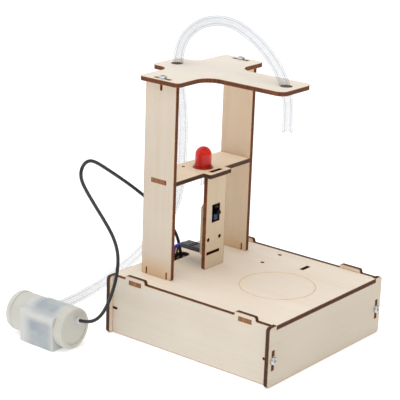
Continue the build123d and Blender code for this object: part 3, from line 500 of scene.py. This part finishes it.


# ---------------------------------------------------------------- plywood
# The face tones hold painted light and shade on top of the wood's own tone. Painted shade darkens the front
# panel and the left side panel, which turn from the light. Painted light brightens the deck, the shelf, the
# sensor panel and the right column, which sit in the tower's shade, and gives the right column a warmer
# painted bounce light.
PLATES = {  # thickness axis, grain axis, face tone
    "deck": (Z, Y, (231, 219, 203)),
    "front_panel": (Y, X, (211, 200, 183)),
    "back_panel": (Y, X, (222, 211, 195)),
    "left_side_panel": (X, Y, (216, 207, 193)),
    "right_side_panel": (X, Y, (223, 213, 199)),
    "left_column": (X, Z, (214, 201, 184)),
    "right_column": (X, Z, (222, 202, 178)),
    "shelf": (Z, X, (246, 230, 206)),
    "top_plate": (Z, Y, (229, 221, 208)),
    "sensor_panel": (Y, Z, (222, 203, 176)),
}
DARK_EDGED = ("deck", "front_panel", "back_panel", "left_side_panel", "right_side_panel", "shelf")
FACE, EDGE, TAB_END, ENGRAVED = range(4)  # material places of a plate
PLY, TOUCHING = 2.5 * MM, 0.01 * MM
SCORCH_WIDTH = 0.45 * MM
CUP_RING = (0, -23.0 * MM, DECK_TOP)
CUP_RING_R, CUP_RING_NEAR = 22.0 * MM, 0.9 * MM
LAMP_SHADOW_R, LAMP_SHADOW_HALF = 5.75 * MM, 0.7 * MM  # painted shadow on the shelf round the lamp's flange
FOOT_SHADE_HEIGHT = 13.0 * MM  # of each column's foot above the deck, painted darker and warmer as shade in its corner with the deck
SENSOR_CUTS = ((X, -8.0 * MM, 8.0 * MM), (Z, 40.0 * MM, 74.2 * MM))  # the sensor panel's window and slots, whose edges are painted near black as shade


def along(axis, grain, across):
    """Scale with one number along the grain and another across it."""
    return tuple(grain if i == axis else across for i in range(3))


def scorched(look, wood):
    """Wood colour that browns towards a laser cut, by the mesh's scorch attribute."""
    wander = look.speckle(420)
    near = look.math("ADD", look.attribute("scorch"), look.span(wander, 0.25, 0.75, -0.14, 0.14))
    amber = look.mix(look.span(near, 0.12, 0.55), wood, srgb(212, 168, 118))
    brown = look.mix(look.span(near, 0.5, 0.82), amber, srgb(176, 116, 68))
    return look.mix(look.span(near, 0.88, 1.04), brown, srgb(112, 66, 40))


def lamp_shadow_ring(look):
    """1 on a ring round the lamp's foot, where its shadow is painted on the shelf."""
    low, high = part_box("led_lens")
    return look.ring((low + high) / 2, LAMP_SHADOW_R, LAMP_SHADOW_HALF)


def veneer(node, thick, grain, tone):
    """Bare basswood face: fine fibres, faint bands, blotches and short pores; painted shade at each column's
    foot and a painted shadow round the lamp on the shelf.
    """
    look = Look("veneer_" + node, Roughness=0.56, Specular_IOR_Level=0.35)
    shift = (len(node) * 0.37, len(node) * 0.61, len(node) * 0.23)  # another part of the grain for each plate
    fibres = look.noise(look.stretched(along(grain, 55, 2300), shift), detail=3.0, rough=0.6)
    bands = look.noise(look.stretched(along(grain, 7, 210), shift), detail=4.0, rough=0.6, distortion=0.4)
    blotches = look.speckle(26, detail=2.0, shift=shift)
    pores = look.noise(look.stretched(along(grain, 420, 5200), shift), detail=1.0)
    base = srgb(*tone)
    warm = [base[0] * 0.93, base[1] * 0.86, base[2] * 0.76, 1]
    pale = shade(base, 1.05)
    wood = look.mix(look.span(bands, 0.40, 0.72, 0.0, 0.46), base, warm)
    wood = look.mix(look.span(blotches, 0.45, 0.8, 0.0, 0.7), wood, pale)
    wood = look.mix(look.span(fibres, 0.52, 0.78, 0.0, 0.34), wood, warm)
    wood = look.mix(look.span(pores, 0.68, 0.80, 0.0, 0.42), wood, srgb(176, 142, 104))
    # painted shade: each column darker and warmer towards its foot, in its corner with the deck
    if thick == X and grain == Z:
        foot = look.span(look.axis(Z), DECK_TOP + FOOT_SHADE_HEIGHT, DECK_TOP)
        edge_smoke_and_foot_shade = look.math("MULTIPLY", foot, look.span(blotches, 0.3, 0.7, 0.3, 0.9))
        wood = look.mix(edge_smoke_and_foot_shade, wood, srgb(216, 178, 132))
    # painted shadow: a dark ring on the shelf round the lamp's flange
    if node == "shelf":
        wood = look.mix(lamp_shadow_ring(look), wood, srgb(92, 52, 34))
    height = look.math("ADD", fibres, look.math("MULTIPLY", pores, -0.5))
    return look.drive(Base_Color=scorched(look, wood), Roughness=look.span(fibres, 0.3, 0.7, 0.5, 0.64),
                      Normal=look.bump(height, 0.06 * MM, 0.6))


def burnt_edge(node, thick, middle, tab_end=False):
    """Laser-cut edge: three plies with dark glue lines, charred in upright streaks; paler on a tab's end;
    painted near-black shade inside the sensor panel's window and slots.
    """
    look = Look(f"{'tab_end' if tab_end else 'edge'}_{node}", Roughness=0.72, Specular_IOR_Level=0.3)
    depth = look.math("ABSOLUTE", look.math("SUBTRACT", look.axis(thick), middle))
    ply = look.math("DIVIDE", depth, PLY / 2)
    streaks = look.noise(look.stretched(along(thick, 90, 1500)), detail=3.0)
    edge_smoke_and_foot_shade = look.speckle(70)
    if tab_end:
        core, glue, skin = srgb(164, 122, 88), srgb(104, 66, 42), srgb(152, 106, 72)
    elif node in DARK_EDGED:
        core, glue, skin = srgb(78, 52, 41), srgb(46, 31, 26), srgb(92, 58, 42)
    else:
        core, glue, skin = srgb(118, 68, 42), srgb(66, 38, 24), srgb(142, 84, 50)
    layers = look.ramp(ply, [(0.0, core), (0.30, core), (0.38, glue), (0.48, core), (0.76, skin),
                             (1.0, srgb(178, 118, 72))])
    char = look.mix(look.span(streaks, 0.35, 0.66, 0.0, 0.75), layers, glue)
    char = look.mix(look.span(edge_smoke_and_foot_shade, 0.5, 0.8, 0.0, 0.5), char, skin)
    if tab_end:
        char = look.mix(look.span(look.attribute("scorch"), 0.2, 0.9), char, srgb(62, 36, 28))
    # painted shade: the edges inside the sensor panel's window and slots near black, in these recesses
    if node == "sensor_panel":
        cuts = look.math("MULTIPLY", *(look.inside(*stretch) for stretch in SENSOR_CUTS))
        char = look.mix(cuts, char, srgb(28, 22, 19))
    return look.drive(Base_Color=char, Normal=look.bump(streaks, 0.12 * MM, 0.7))


def engraved():
    """Shallow laser line round the cup's place."""
    look = Look("engraved_line", Roughness=0.7)
    wander = look.speckle(300, detail=2.0)
    tone = look.mix(look.span(wander, 0.3, 0.7), srgb(226, 190, 138), srgb(238, 208, 160))
    return look.drive(Base_Color=tone)


def clean_bmesh(node):
    """The CAD node's mesh with its corners joined and its flat faces whole."""
    bm = bmesh.new()
    bm.from_mesh(frame["nodes"][node].data)
    bmesh.ops.remove_doubles(bm, verts=bm.verts, dist=2e-6)
    bmesh.ops.dissolve_limit(bm, angle_limit=radians(0.4), verts=bm.verts, edges=bm.edges)
    return bm


def on_cup_ring(point):
    """True close to the engraved ring in the deck's top."""
    away = point - Vector(CUP_RING)
    return away.z > -1.0 * MM and abs(away.xy.length - CUP_RING_R) < CUP_RING_NEAR


def is_tab_end(node, face, low, high):
    """True for the end of a tab that shows in another plate's slot."""
    if node not in ("deck", "shelf"):
        return False
    centre = face.calc_center_median()
    return abs(face.normal.x) > 0.9 and (centre.x - low.x < TOUCHING or high.x - centre.x < TOUCHING)


def plate_face_kind(node, face, thick, low, high):
    """Which of the plate's four materials a face takes."""
    centre = face.calc_center_median()
    if abs(face.normal[thick]) > 0.99:
        outer = min(centre[thick] - low[thick], high[thick] - centre[thick]) < TOUCHING
        return FACE if outer else ENGRAVED
    if node == "deck" and on_cup_ring(centre):
        return ENGRAVED
    return TAB_END if is_tab_end(node, face, low, high) else EDGE


def plate(node):
    """Plywood plate: veneer faces with a scorched rim, and burnt edges."""
    thick, grain, tone = PLATES[node]
    low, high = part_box(node)
    bm = clean_bmesh(node)
    scorch = bm.verts.layers.float.new("scorch")
    for face in bm.faces:
        face.material_index = plate_face_kind(node, face, thick, low, high)
    region = [face for kind in (FACE, TAB_END) for face in bm.faces if face.material_index == kind]
    bmesh.ops.inset_region(bm, faces=region, thickness=SCORCH_WIDTH, use_even_offset=True, use_boundary=True)
    unburnt = {vert for face in region for vert in face.verts}
    for vert in bm.verts:
        vert[scorch] = 0.0 if vert in unburnt else 1.0
        if node == "deck" and on_cup_ring(vert.co):
            vert[scorch] *= 0.2
    middle = (low[thick] + high[thick]) / 2
    piece = new_object("plywood_" + node, finished_mesh("plywood_" + node, bm, 30))
    stand_for(piece, node, veneer(node, thick, grain, tone))
    piece.data.materials.append(burnt_edge(node, thick, middle))
    piece.data.materials.append(burnt_edge(node, thick, middle, tab_end=True))
    piece.data.materials.append(engraved())


for plate_node in PLATES:
    plate(plate_node)


# ---------------------------------------------------------------- materials of the carried nodes
def metal(name, colour, rough, scratch=(900, 900, 900)):
    """Bare metal with fine drawing marks and dull patches."""
    look = Look(name, Metallic=1.0)
    marks = look.noise(look.stretched(scratch), detail=3.0)
    dull = look.speckle(240)
    tone = look.mix(look.span(dull, 0.35, 0.7), colour, shade(colour, 0.78))
    return look.drive(Base_Color=tone, Roughness=look.span(dull, 0.3, 0.7, rough - 0.07, rough + 0.1),
                      Normal=look.bump(marks, 0.02 * MM, 0.5))


def screw_steel(name, shank_of):
    """Bright zinc head; the shank, seen in its slit, is painted dark and dull as shade in the slit."""
    look = Look(name)
    shank = shank_of(look)
    marks = look.speckle(900)
    dull = look.speckle(240)
    bright = look.mix(look.span(dull, 0.35, 0.7), srgb(208, 210, 212), srgb(182, 184, 186))
    # painted shade: the shank in its slit dark and dull
    return look.drive(Base_Color=look.mix(shank, bright, srgb(36, 28, 25)),
                      Metallic=look.span(shank, 0.0, 1.0, 1.0, 0.3),
                      Roughness=look.span(dull, 0.3, 0.7, 0.17, 0.32), Normal=look.bump(marks, 0.02 * MM, 0.5))


def plastic(name, colour, rough, grain=1100, depth=0.03 * MM, **sockets):
    """Moulded plastic with a fine sparked skin and slight flow marks."""
    look = Look(name, **sockets)
    skin = look.speckle(grain, detail=2.0)
    flow = look.speckle(60, detail=2.0)
    tone = look.mix(look.span(flow, 0.35, 0.7), colour, shade(colour, 0.86))
    return look.drive(Base_Color=tone, Roughness=look.span(skin, 0.3, 0.7, rough - 0.06, rough + 0.07),
                      Normal=look.bump(skin, depth, 0.6))


def part_metal(name, colour, rough, mask_of):
    """Plastic body with metal where the mask is 1."""
    look = Look(name)
    mask = mask_of(look)
    skin = look.speckle(1000, detail=2.0)
    body = look.mix(look.span(skin, 0.3, 0.7), colour, shade(colour, 1.25, 0.004))
    return look.drive(Base_Color=look.mix(mask, body, (0.62, 0.62, 0.6, 1)), Metallic=mask,
                      Roughness=look.mix(mask, grey(rough), grey(0.28)),
                      Normal=look.bump(skin, 0.03 * MM, 0.5))


def circuit_board(name, thick):
    """Black solder mask with faint tracks; glass-fibre edge."""
    look = Look(name, Specular_IOR_Level=0.5)
    normal = look.tree.nodes.new("ShaderNodeSeparateXYZ")
    source = look.tree.nodes.new("ShaderNodeTexCoord").outputs["Normal"]
    look.wire(normal.inputs[0], source)
    flat_face = look.span(look.math("ABSOLUTE", normal.outputs[thick]), 0.80, 0.86)
    cells = look.tree.nodes.new("ShaderNodeTexVoronoi")
    cells.distance = "MANHATTAN"
    cells.feature = "F2"
    look.wire(cells.inputs["Vector"], look.stretched((330, 330, 330)))
    tracks = look.span(look.math("ABSOLUTE", look.math("SUBTRACT", cells.outputs["Distance"], 0.9)),
                       0.05, 0.09, 1.0, 0.0)
    weave = look.noise(look.stretched(along(thick, 700, 2400)), detail=2.0)
    mask = look.mix(look.math("MULTIPLY", tracks, 0.6), srgb(24, 27, 30), srgb(50, 56, 58))
    fibre = look.mix(look.span(weave, 0.35, 0.7), srgb(196, 184, 158), srgb(166, 152, 126))
    return look.drive(Base_Color=look.mix(flat_face, fibre, mask),
                      Roughness=look.span(weave, 0.3, 0.7, 0.3, 0.45),
                      Normal=look.bump(look.math("MULTIPLY", tracks, flat_face), 0.05 * MM, 0.7))


def foam():
    """Double-sided foam pad with open cells, painted darker in their hollows as shade."""
    look = Look("foam_pad", Roughness=0.9)
    cells = look.tree.nodes.new("ShaderNodeTexVoronoi")
    look.wire(cells.inputs["Vector"], look.stretched((2600, 2600, 2600)))
    # painted shade in the cells' hollows
    hollow = look.span(cells.outputs["Distance"], 0.1, 0.6)
    return look.drive(Base_Color=look.mix(hollow, srgb(236, 234, 226), srgb(180, 178, 170)),
                      Normal=look.bump(hollow, -0.2 * MM))


def lamp_red():
    """Diffused red epoxy, painted darker towards the flange as shade and lighter towards the top as light."""
    look = Look("lamp_red", Transmission_Weight=0.05, IOR=1.4, Coat_Weight=0.45,
                Coat_Roughness=0.03, Specular_IOR_Level=0.2, Subsurface_Weight=0.2, Subsurface_Scale=0.002)
    look.shader.inputs["Subsurface Radius"].default_value = (1.0, 0.15, 0.1)
    cloud = look.speckle(180, detail=2.0)
    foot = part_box("led_lens")[0].z
    # painted light and shade: darker at the flange, lighter at the top
    height = look.span(look.axis(Z), foot + 0.5 * MM, foot + 9.5 * MM)
    tone = look.mix(height, srgb(170, 12, 6), srgb(222, 28, 14))
    return look.drive(Base_Color=look.mix(look.span(cloud, 0.4, 0.7, 0.0, 0.3), tone, srgb(236, 54, 32)),
                      Roughness=look.span(cloud, 0.3, 0.7, 0.16, 0.26))


MOTOR_SHADE_STRETCH = (62.2 * MM, 80.0 * MM)  # of Y, where the motor's shade is painted on the case
LEDGE_Z, LEDGE_CLEAR, LEDGE_FULL = 18.0 * MM, 0.8 * MM, 4.2 * MM  # the painted motor shade leaves the case pale along this ledge


def milky(name, colour, clear, with_motor_shade=False):
    """Translucent unpigmented plastic with moulding flow; over the motor, a cool grey painted shade stands for
    the motor seen through the case.
    """
    look = Look(name, Transmission_Weight=clear, IOR=1.38, Subsurface_Weight=0.35, Subsurface_Scale=0.003)
    look.shader.inputs["Subsurface Radius"].default_value = (1.0, 0.95, 0.85)
    flow = look.noise(look.stretched((70, 30, 70)), detail=3.0)
    skin = look.speckle(900, detail=2.0)
    tone = look.mix(look.span(flow, 0.3, 0.7), colour, shade(colour, 0.93))
    # painted shade of the motor inside, seen through the case, patchy with the flow
    if with_motor_shade:
        off_ledge = look.math("ABSOLUTE", look.math("SUBTRACT", look.axis(Z), LEDGE_Z))
        ledge = look.span(off_ledge, LEDGE_CLEAR, LEDGE_FULL)
        cloud = look.math("MULTIPLY", look.inside(Y, *MOTOR_SHADE_STRETCH, soft=3.0 * MM), ledge)
        cloud = look.math("MULTIPLY", cloud, look.span(flow, 0.32, 0.60, 0.45, 1.0))
        tone = look.mix(cloud, tone, srgb(170, 180, 188))
    return look.drive(Base_Color=tone, Roughness=look.span(skin, 0.3, 0.7, 0.38, 0.5),
                      Normal=look.bump(skin, 0.03 * MM, 0.5))


CELL_PITCH, BAND_START, SLEEVE_END = 15.2 * MM, 10.0 * MM, 24.4 * MM  # the last two from a cell's middle


def cell_wrap():
    """Shrink-wrapped cells, laid head to tail: graphite sleeve, a copper band at the plus end, steel ends."""
    look = Look("cell_wrap", Specular_IOR_Level=0.6)
    low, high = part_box("batteries")
    from_middle_cell = look.math("SUBTRACT", look.axis(Y), (low.y + high.y) / 2)
    turn = look.math("COSINE", look.math("MULTIPLY", from_middle_cell, pi / CELL_PITCH))
    towards_plus = look.math("MULTIPLY", look.axis(X), look.math("SIGN", turn))
    plus = look.span(towards_plus, BAND_START - 0.2 * MM, BAND_START + 0.2 * MM)
    bare = look.span(look.math("ABSOLUTE", look.axis(X)), SLEEVE_END - 0.1 * MM, SLEEVE_END + 0.1 * MM)
    skin = look.noise(look.stretched((120, 900, 900)), detail=3.0)
    sleeve = look.mix(look.span(skin, 0.3, 0.7), srgb(40, 42, 48), srgb(58, 60, 66))
    band = look.mix(look.span(skin, 0.3, 0.7), srgb(186, 112, 58), srgb(206, 134, 76))
    tone = look.mix(bare, look.mix(plus, sleeve, band), srgb(200, 200, 198))
    return look.drive(Base_Color=tone, Metallic=bare, Roughness=look.span(skin, 0.3, 0.7, 0.24, 0.36),
                      Normal=look.bump(skin, 0.04 * MM, 0.6))


def wound_copper():
    """Rotor: copper windings over dark iron."""
    look = Look("wound_copper", Metallic=0.9, Roughness=0.36)
    turns = look.noise(look.stretched((300, 3600, 300)), detail=1.0)
    return look.drive(Base_Color=look.mix(look.span(turns, 0.4, 0.6), srgb(196, 110, 66), srgb(110, 56, 34)),
                      Normal=look.bump(turns, 0.1 * MM))


def ferrite():
    """Grey magnet with a coarse sintered grain."""
    look = Look("ferrite", Roughness=0.72)
    grain = look.speckle(1500, detail=4.0)
    return look.drive(Base_Color=look.mix(look.span(grain, 0.3, 0.7), srgb(52, 51, 52), srgb(80, 78, 78)),
                      Normal=look.bump(grain, 0.1 * MM))


SHANK_DEPTH = 0.1 * MM  # where a screw's head ends, under the plate's face
CHIP_LEG_REACH = 1.0 * MM
CAN_TOP_HEIGHT = 0.3 * MM


def base_screw_shanks(look):
    """1 between the front and back panels' outer faces."""
    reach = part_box("back_panel")[1].y - SHANK_DEPTH
    return look.inside(Y, -reach, reach)


def top_screw_shanks(look):
    """1 under the top plate's face."""
    return look.inside(Z, 0.0, PLATE_TOP - SHANK_DEPTH)


def chip_legs(look):
    """1 outside the chip's body."""
    low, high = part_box("driver_chip")
    return look.math("SUBTRACT", 1.0, look.inside(Y, low.y + CHIP_LEG_REACH, high.y - CHIP_LEG_REACH))


def can_top(look):
    """1 on the capacitor's bare end, which hangs down."""
    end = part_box("capacitor")[0].z
    return look.inside(Z, end - CAN_TOP_HEIGHT, end + CAN_TOP_HEIGHT)


BLACK, WHITE = srgb(26, 26, 28), srgb(226, 224, 216)
LOOKS = {
    "base_screws": screw_steel("screw_base", base_screw_shanks),
    "top_screws": screw_steel("screw_top", top_screw_shanks),
    "board_screws": metal("zinc_board", srgb(200, 202, 204), 0.26),
    "led_lens": lamp_red(),
    "led_leads": metal("tinned_legs", srgb(214, 214, 210), 0.24),
    "sensor_board": circuit_board("sensor_mask", Y),
    "sensor_pad": foam(),
    "ir_emitter": plastic("dark_lens_upper", srgb(14, 13, 18), 0.24, Specular_IOR_Level=0.3),
    "ir_receiver": plastic("dark_lens_lower", srgb(12, 11, 15), 0.24, Specular_IOR_Level=0.3),
    "trimmer_body": plastic("trimmer_blue", srgb(30, 72, 140), 0.36),
    "trimmer_rotor": metal("trimmer_brass", srgb(104, 96, 78), 0.4),
    "pin_header": plastic("header_black", BLACK, 0.42),
    "header_pins": metal("gold_pins", srgb(232, 196, 118), 0.2),
    "sensor_plug": plastic("plug_black", srgb(30, 31, 34), 0.34, Specular_IOR_Level=0.6),
    "battery_holder": plastic("holder_black", BLACK, 0.5, grain=700, depth=0.06 * MM),
    "batteries": cell_wrap(),
    "contact_plates": metal("nickel_plates", srgb(210, 208, 200), 0.26),
    "contact_springs": metal("nickel_springs", srgb(214, 212, 204), 0.22),
    "control_board": circuit_board("control_mask", Z),
    "board_spacers": plastic("nylon_spacers", srgb(232, 230, 220), 0.44, Subsurface_Weight=0.2,
                             Subsurface_Scale=0.002),
    "driver_chip": part_metal("chip_epoxy", srgb(30, 30, 32), 0.55, chip_legs),
    "power_transistor": plastic("transistor_epoxy", srgb(28, 28, 30), 0.5),
    "capacitor": part_metal("capacitor_sleeve", srgb(24, 30, 52), 0.3, can_top),
    "sensor_socket": plastic("socket_white", WHITE, 0.4),
    "pump_terminal": plastic("terminal_green", srgb(40, 128, 66), 0.38),
    "switch_body": metal("switch_steel", srgb(190, 192, 194), 0.32),
    "switch_slider": plastic("slider_black", BLACK, 0.36),
    "pump_case": milky("milky_case", srgb(230, 230, 226), 0.22, with_motor_shade=True),
    "pump_cap": milky("milky_cap", srgb(212, 210, 201), 0.12),
    "cable_gland": plastic("gland_grey", srgb(226, 228, 232), 0.4),
    "pump_volute": milky("milky_volute", srgb(226, 225, 216), 0.25),
    "inlet_cover": milky("milky_cover", srgb(226, 225, 216), 0.2),
    "motor_can": metal("can_steel", srgb(170, 178, 190), 0.34, scratch=(200, 2400, 200)),
    "motor_bell": plastic("bell_white", WHITE, 0.42),
    "motor_magnets": ferrite(),
    "shaft_seal": plastic("seal_grey", srgb(92, 94, 98), 0.6),
    "motor_shaft": metal("shaft_steel", srgb(206, 208, 210), 0.16),
    "motor_rotor": wound_copper(),
    "impeller": plastic("impeller_white", srgb(236, 236, 230), 0.34),
}
for looked_node, material in LOOKS.items():
    slots = frame["nodes"][looked_node].data.materials
    slots.clear()
    slots.append(material)


# ---------------------------------------------------------------- small parts soldered on the two boards
BODY, TIN = range(2)  # material places of a soldered piece
RESISTOR = (2.0 * MM, 1.25 * MM, 0.5 * MM)  # length, width and height
CHIP = (4.9 * MM, 3.9 * MM, 1.5 * MM)
CHIP_LIFT, LEG_PITCH, LEG_PAIRS = 0.1 * MM, 1.27 * MM, 4
LEG_PARTS = (  # distance out of the chip's body, height and size of a leg's foot and of its knee
    (0.65 * MM, 0.12 * MM, (0.4 * MM, 0.8 * MM, 0.2 * MM)),
    (0.15 * MM, 0.45 * MM, (0.4 * MM, 0.3 * MM, 0.8 * MM)),
)
DOME_HALF = (0.7 * MM, 0.7 * MM, 0.6 * MM)
PIN_END, PIN_END_Z = (0.4 * MM, 0.4 * MM, 0.6 * MM), 0.5 * MM
PIN_GAP = 1.27 * MM  # from a sensing element's or the trimmer's middle to each of its pins
# places on a board's face, in millimetres
SENSOR_RESISTORS = [(-4.6, 49.5), (-4.6, 53.0), (4.6, 49.5), (4.6, 53.0), (-4.6, 64.5), (-4.6, 67.0)]
SENSOR_CHIPS = [(0, 58.0)]
CONTROL_RESISTORS = [(4, -33), (8, -33), (12, -33), (16, -33), (-8, -12), (-8, -28), (16, -10)]
CONTROL_JOINTS = [(20, -36), (20, -38.5), (20, -41)]


def block(bm, to_board, centre, size, cut, place):
    """Block with softened edges, in the board's own axes: along, across and off its face."""
    before = set(bm.faces)
    shape = to_board @ Matrix.Translation(centre) @ Matrix.Diagonal((*size, 1))
    made = bmesh.ops.create_cube(bm, size=1.0, matrix=shape)
    edges = list({edge for vert in made["verts"] for edge in vert.link_edges})
    bmesh.ops.bevel(bm, geom=edges, offset=cut, segments=2, profile=0.5, affect="EDGES")
    for face in set(bm.faces) - before:
        face.material_index = place


def resistor(bm, to_board, x, y):
    """Chip resistor: a dark body between two tinned ends."""
    length, width, height = RESISTOR
    block(bm, to_board, (x, y, height / 2), (length * 0.56, width, height), 0.05 * MM, BODY)
    for side in (-1, 1):
        end = (x + side * length * 0.39, y, height / 2)
        block(bm, to_board, end, (length * 0.22, width, height * 1.06), 0.06 * MM, TIN)


def small_chip(bm, to_board, x, y):
    """Chip with a row of bent legs along each side."""
    length, width, height = CHIP
    block(bm, to_board, (x, y, CHIP_LIFT + height / 2), CHIP, 0.15 * MM, BODY)
    for i in range(LEG_PAIRS):
        leg_x = x + (i - (LEG_PAIRS - 1) / 2) * LEG_PITCH
        for side in (-1, 1):
            for out, up, size in LEG_PARTS:
                block(bm, to_board, (leg_x, y + side * (width / 2 + out), up), size, 0.05 * MM, TIN)


def solder_joint(bm, to_board, x, y):
    """Dome of solder with the pin's end in it."""
    before = set(bm.faces)
    shape = to_board @ Matrix.Translation((x, y, 0)) @ Matrix.Diagonal((*DOME_HALF, 1))
    bmesh.ops.create_uvsphere(bm, u_segments=20, v_segments=12, radius=1.0, matrix=shape)
    for face in set(bm.faces) - before:
        face.material_index = TIN
    block(bm, to_board, (x, y, PIN_END_Z), PIN_END, 0.08 * MM, TIN)


def soldered(name, board, to_board, resistors, chips, joints):
    """One piece with everything soldered to a board's face."""
    bm = bmesh.new()
    for make, places in ((resistor, resistors), (small_chip, chips), (solder_joint, joints)):
        for x, y in places:
            make(bm, to_board, x * MM, y * MM)
    bmesh.ops.recalc_face_normals(bm, faces=bm.faces)
    piece = new_object(name, finished_mesh(name, bm, 35))
    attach(piece, BODY_OF[board])
    piece.data.materials.append(plastic(name + "_epoxy", srgb(34, 34, 36), 0.5))
    piece.data.materials.append(metal(name + "_solder", srgb(206, 206, 202), 0.26))


def sensor_joints():
    """A pair of joints behind each element that sits on the sensor board's front."""
    places = []
    for node in ("ir_emitter", "ir_receiver", "trimmer_body"):
        low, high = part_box(node)
        middle = (low + high) / 2
        places += [((middle.x + side * PIN_GAP) / MM, middle.z / MM) for side in (-1, 1)]
    return places


def solder_both_boards():
    """Parts on the sensor board's back and on the control board's underside."""
    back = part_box("sensor_board")[1].y
    to_back = Matrix(((1, 0, 0, 0), (0, 0, 1, back), (0, 1, 0, 0), (0, 0, 0, 1)))
    soldered("sensor_board_parts", "sensor_board", to_back, SENSOR_RESISTORS, SENSOR_CHIPS, sensor_joints())
    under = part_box("control_board")[0].z
    to_under = Matrix(((1, 0, 0, 0), (0, -1, 0, 0), (0, 0, -1, under), (0, 0, 0, 1)))
    soldered("control_board_parts", "control_board", to_under, CONTROL_RESISTORS, [], CONTROL_JOINTS)


solder_both_boards()
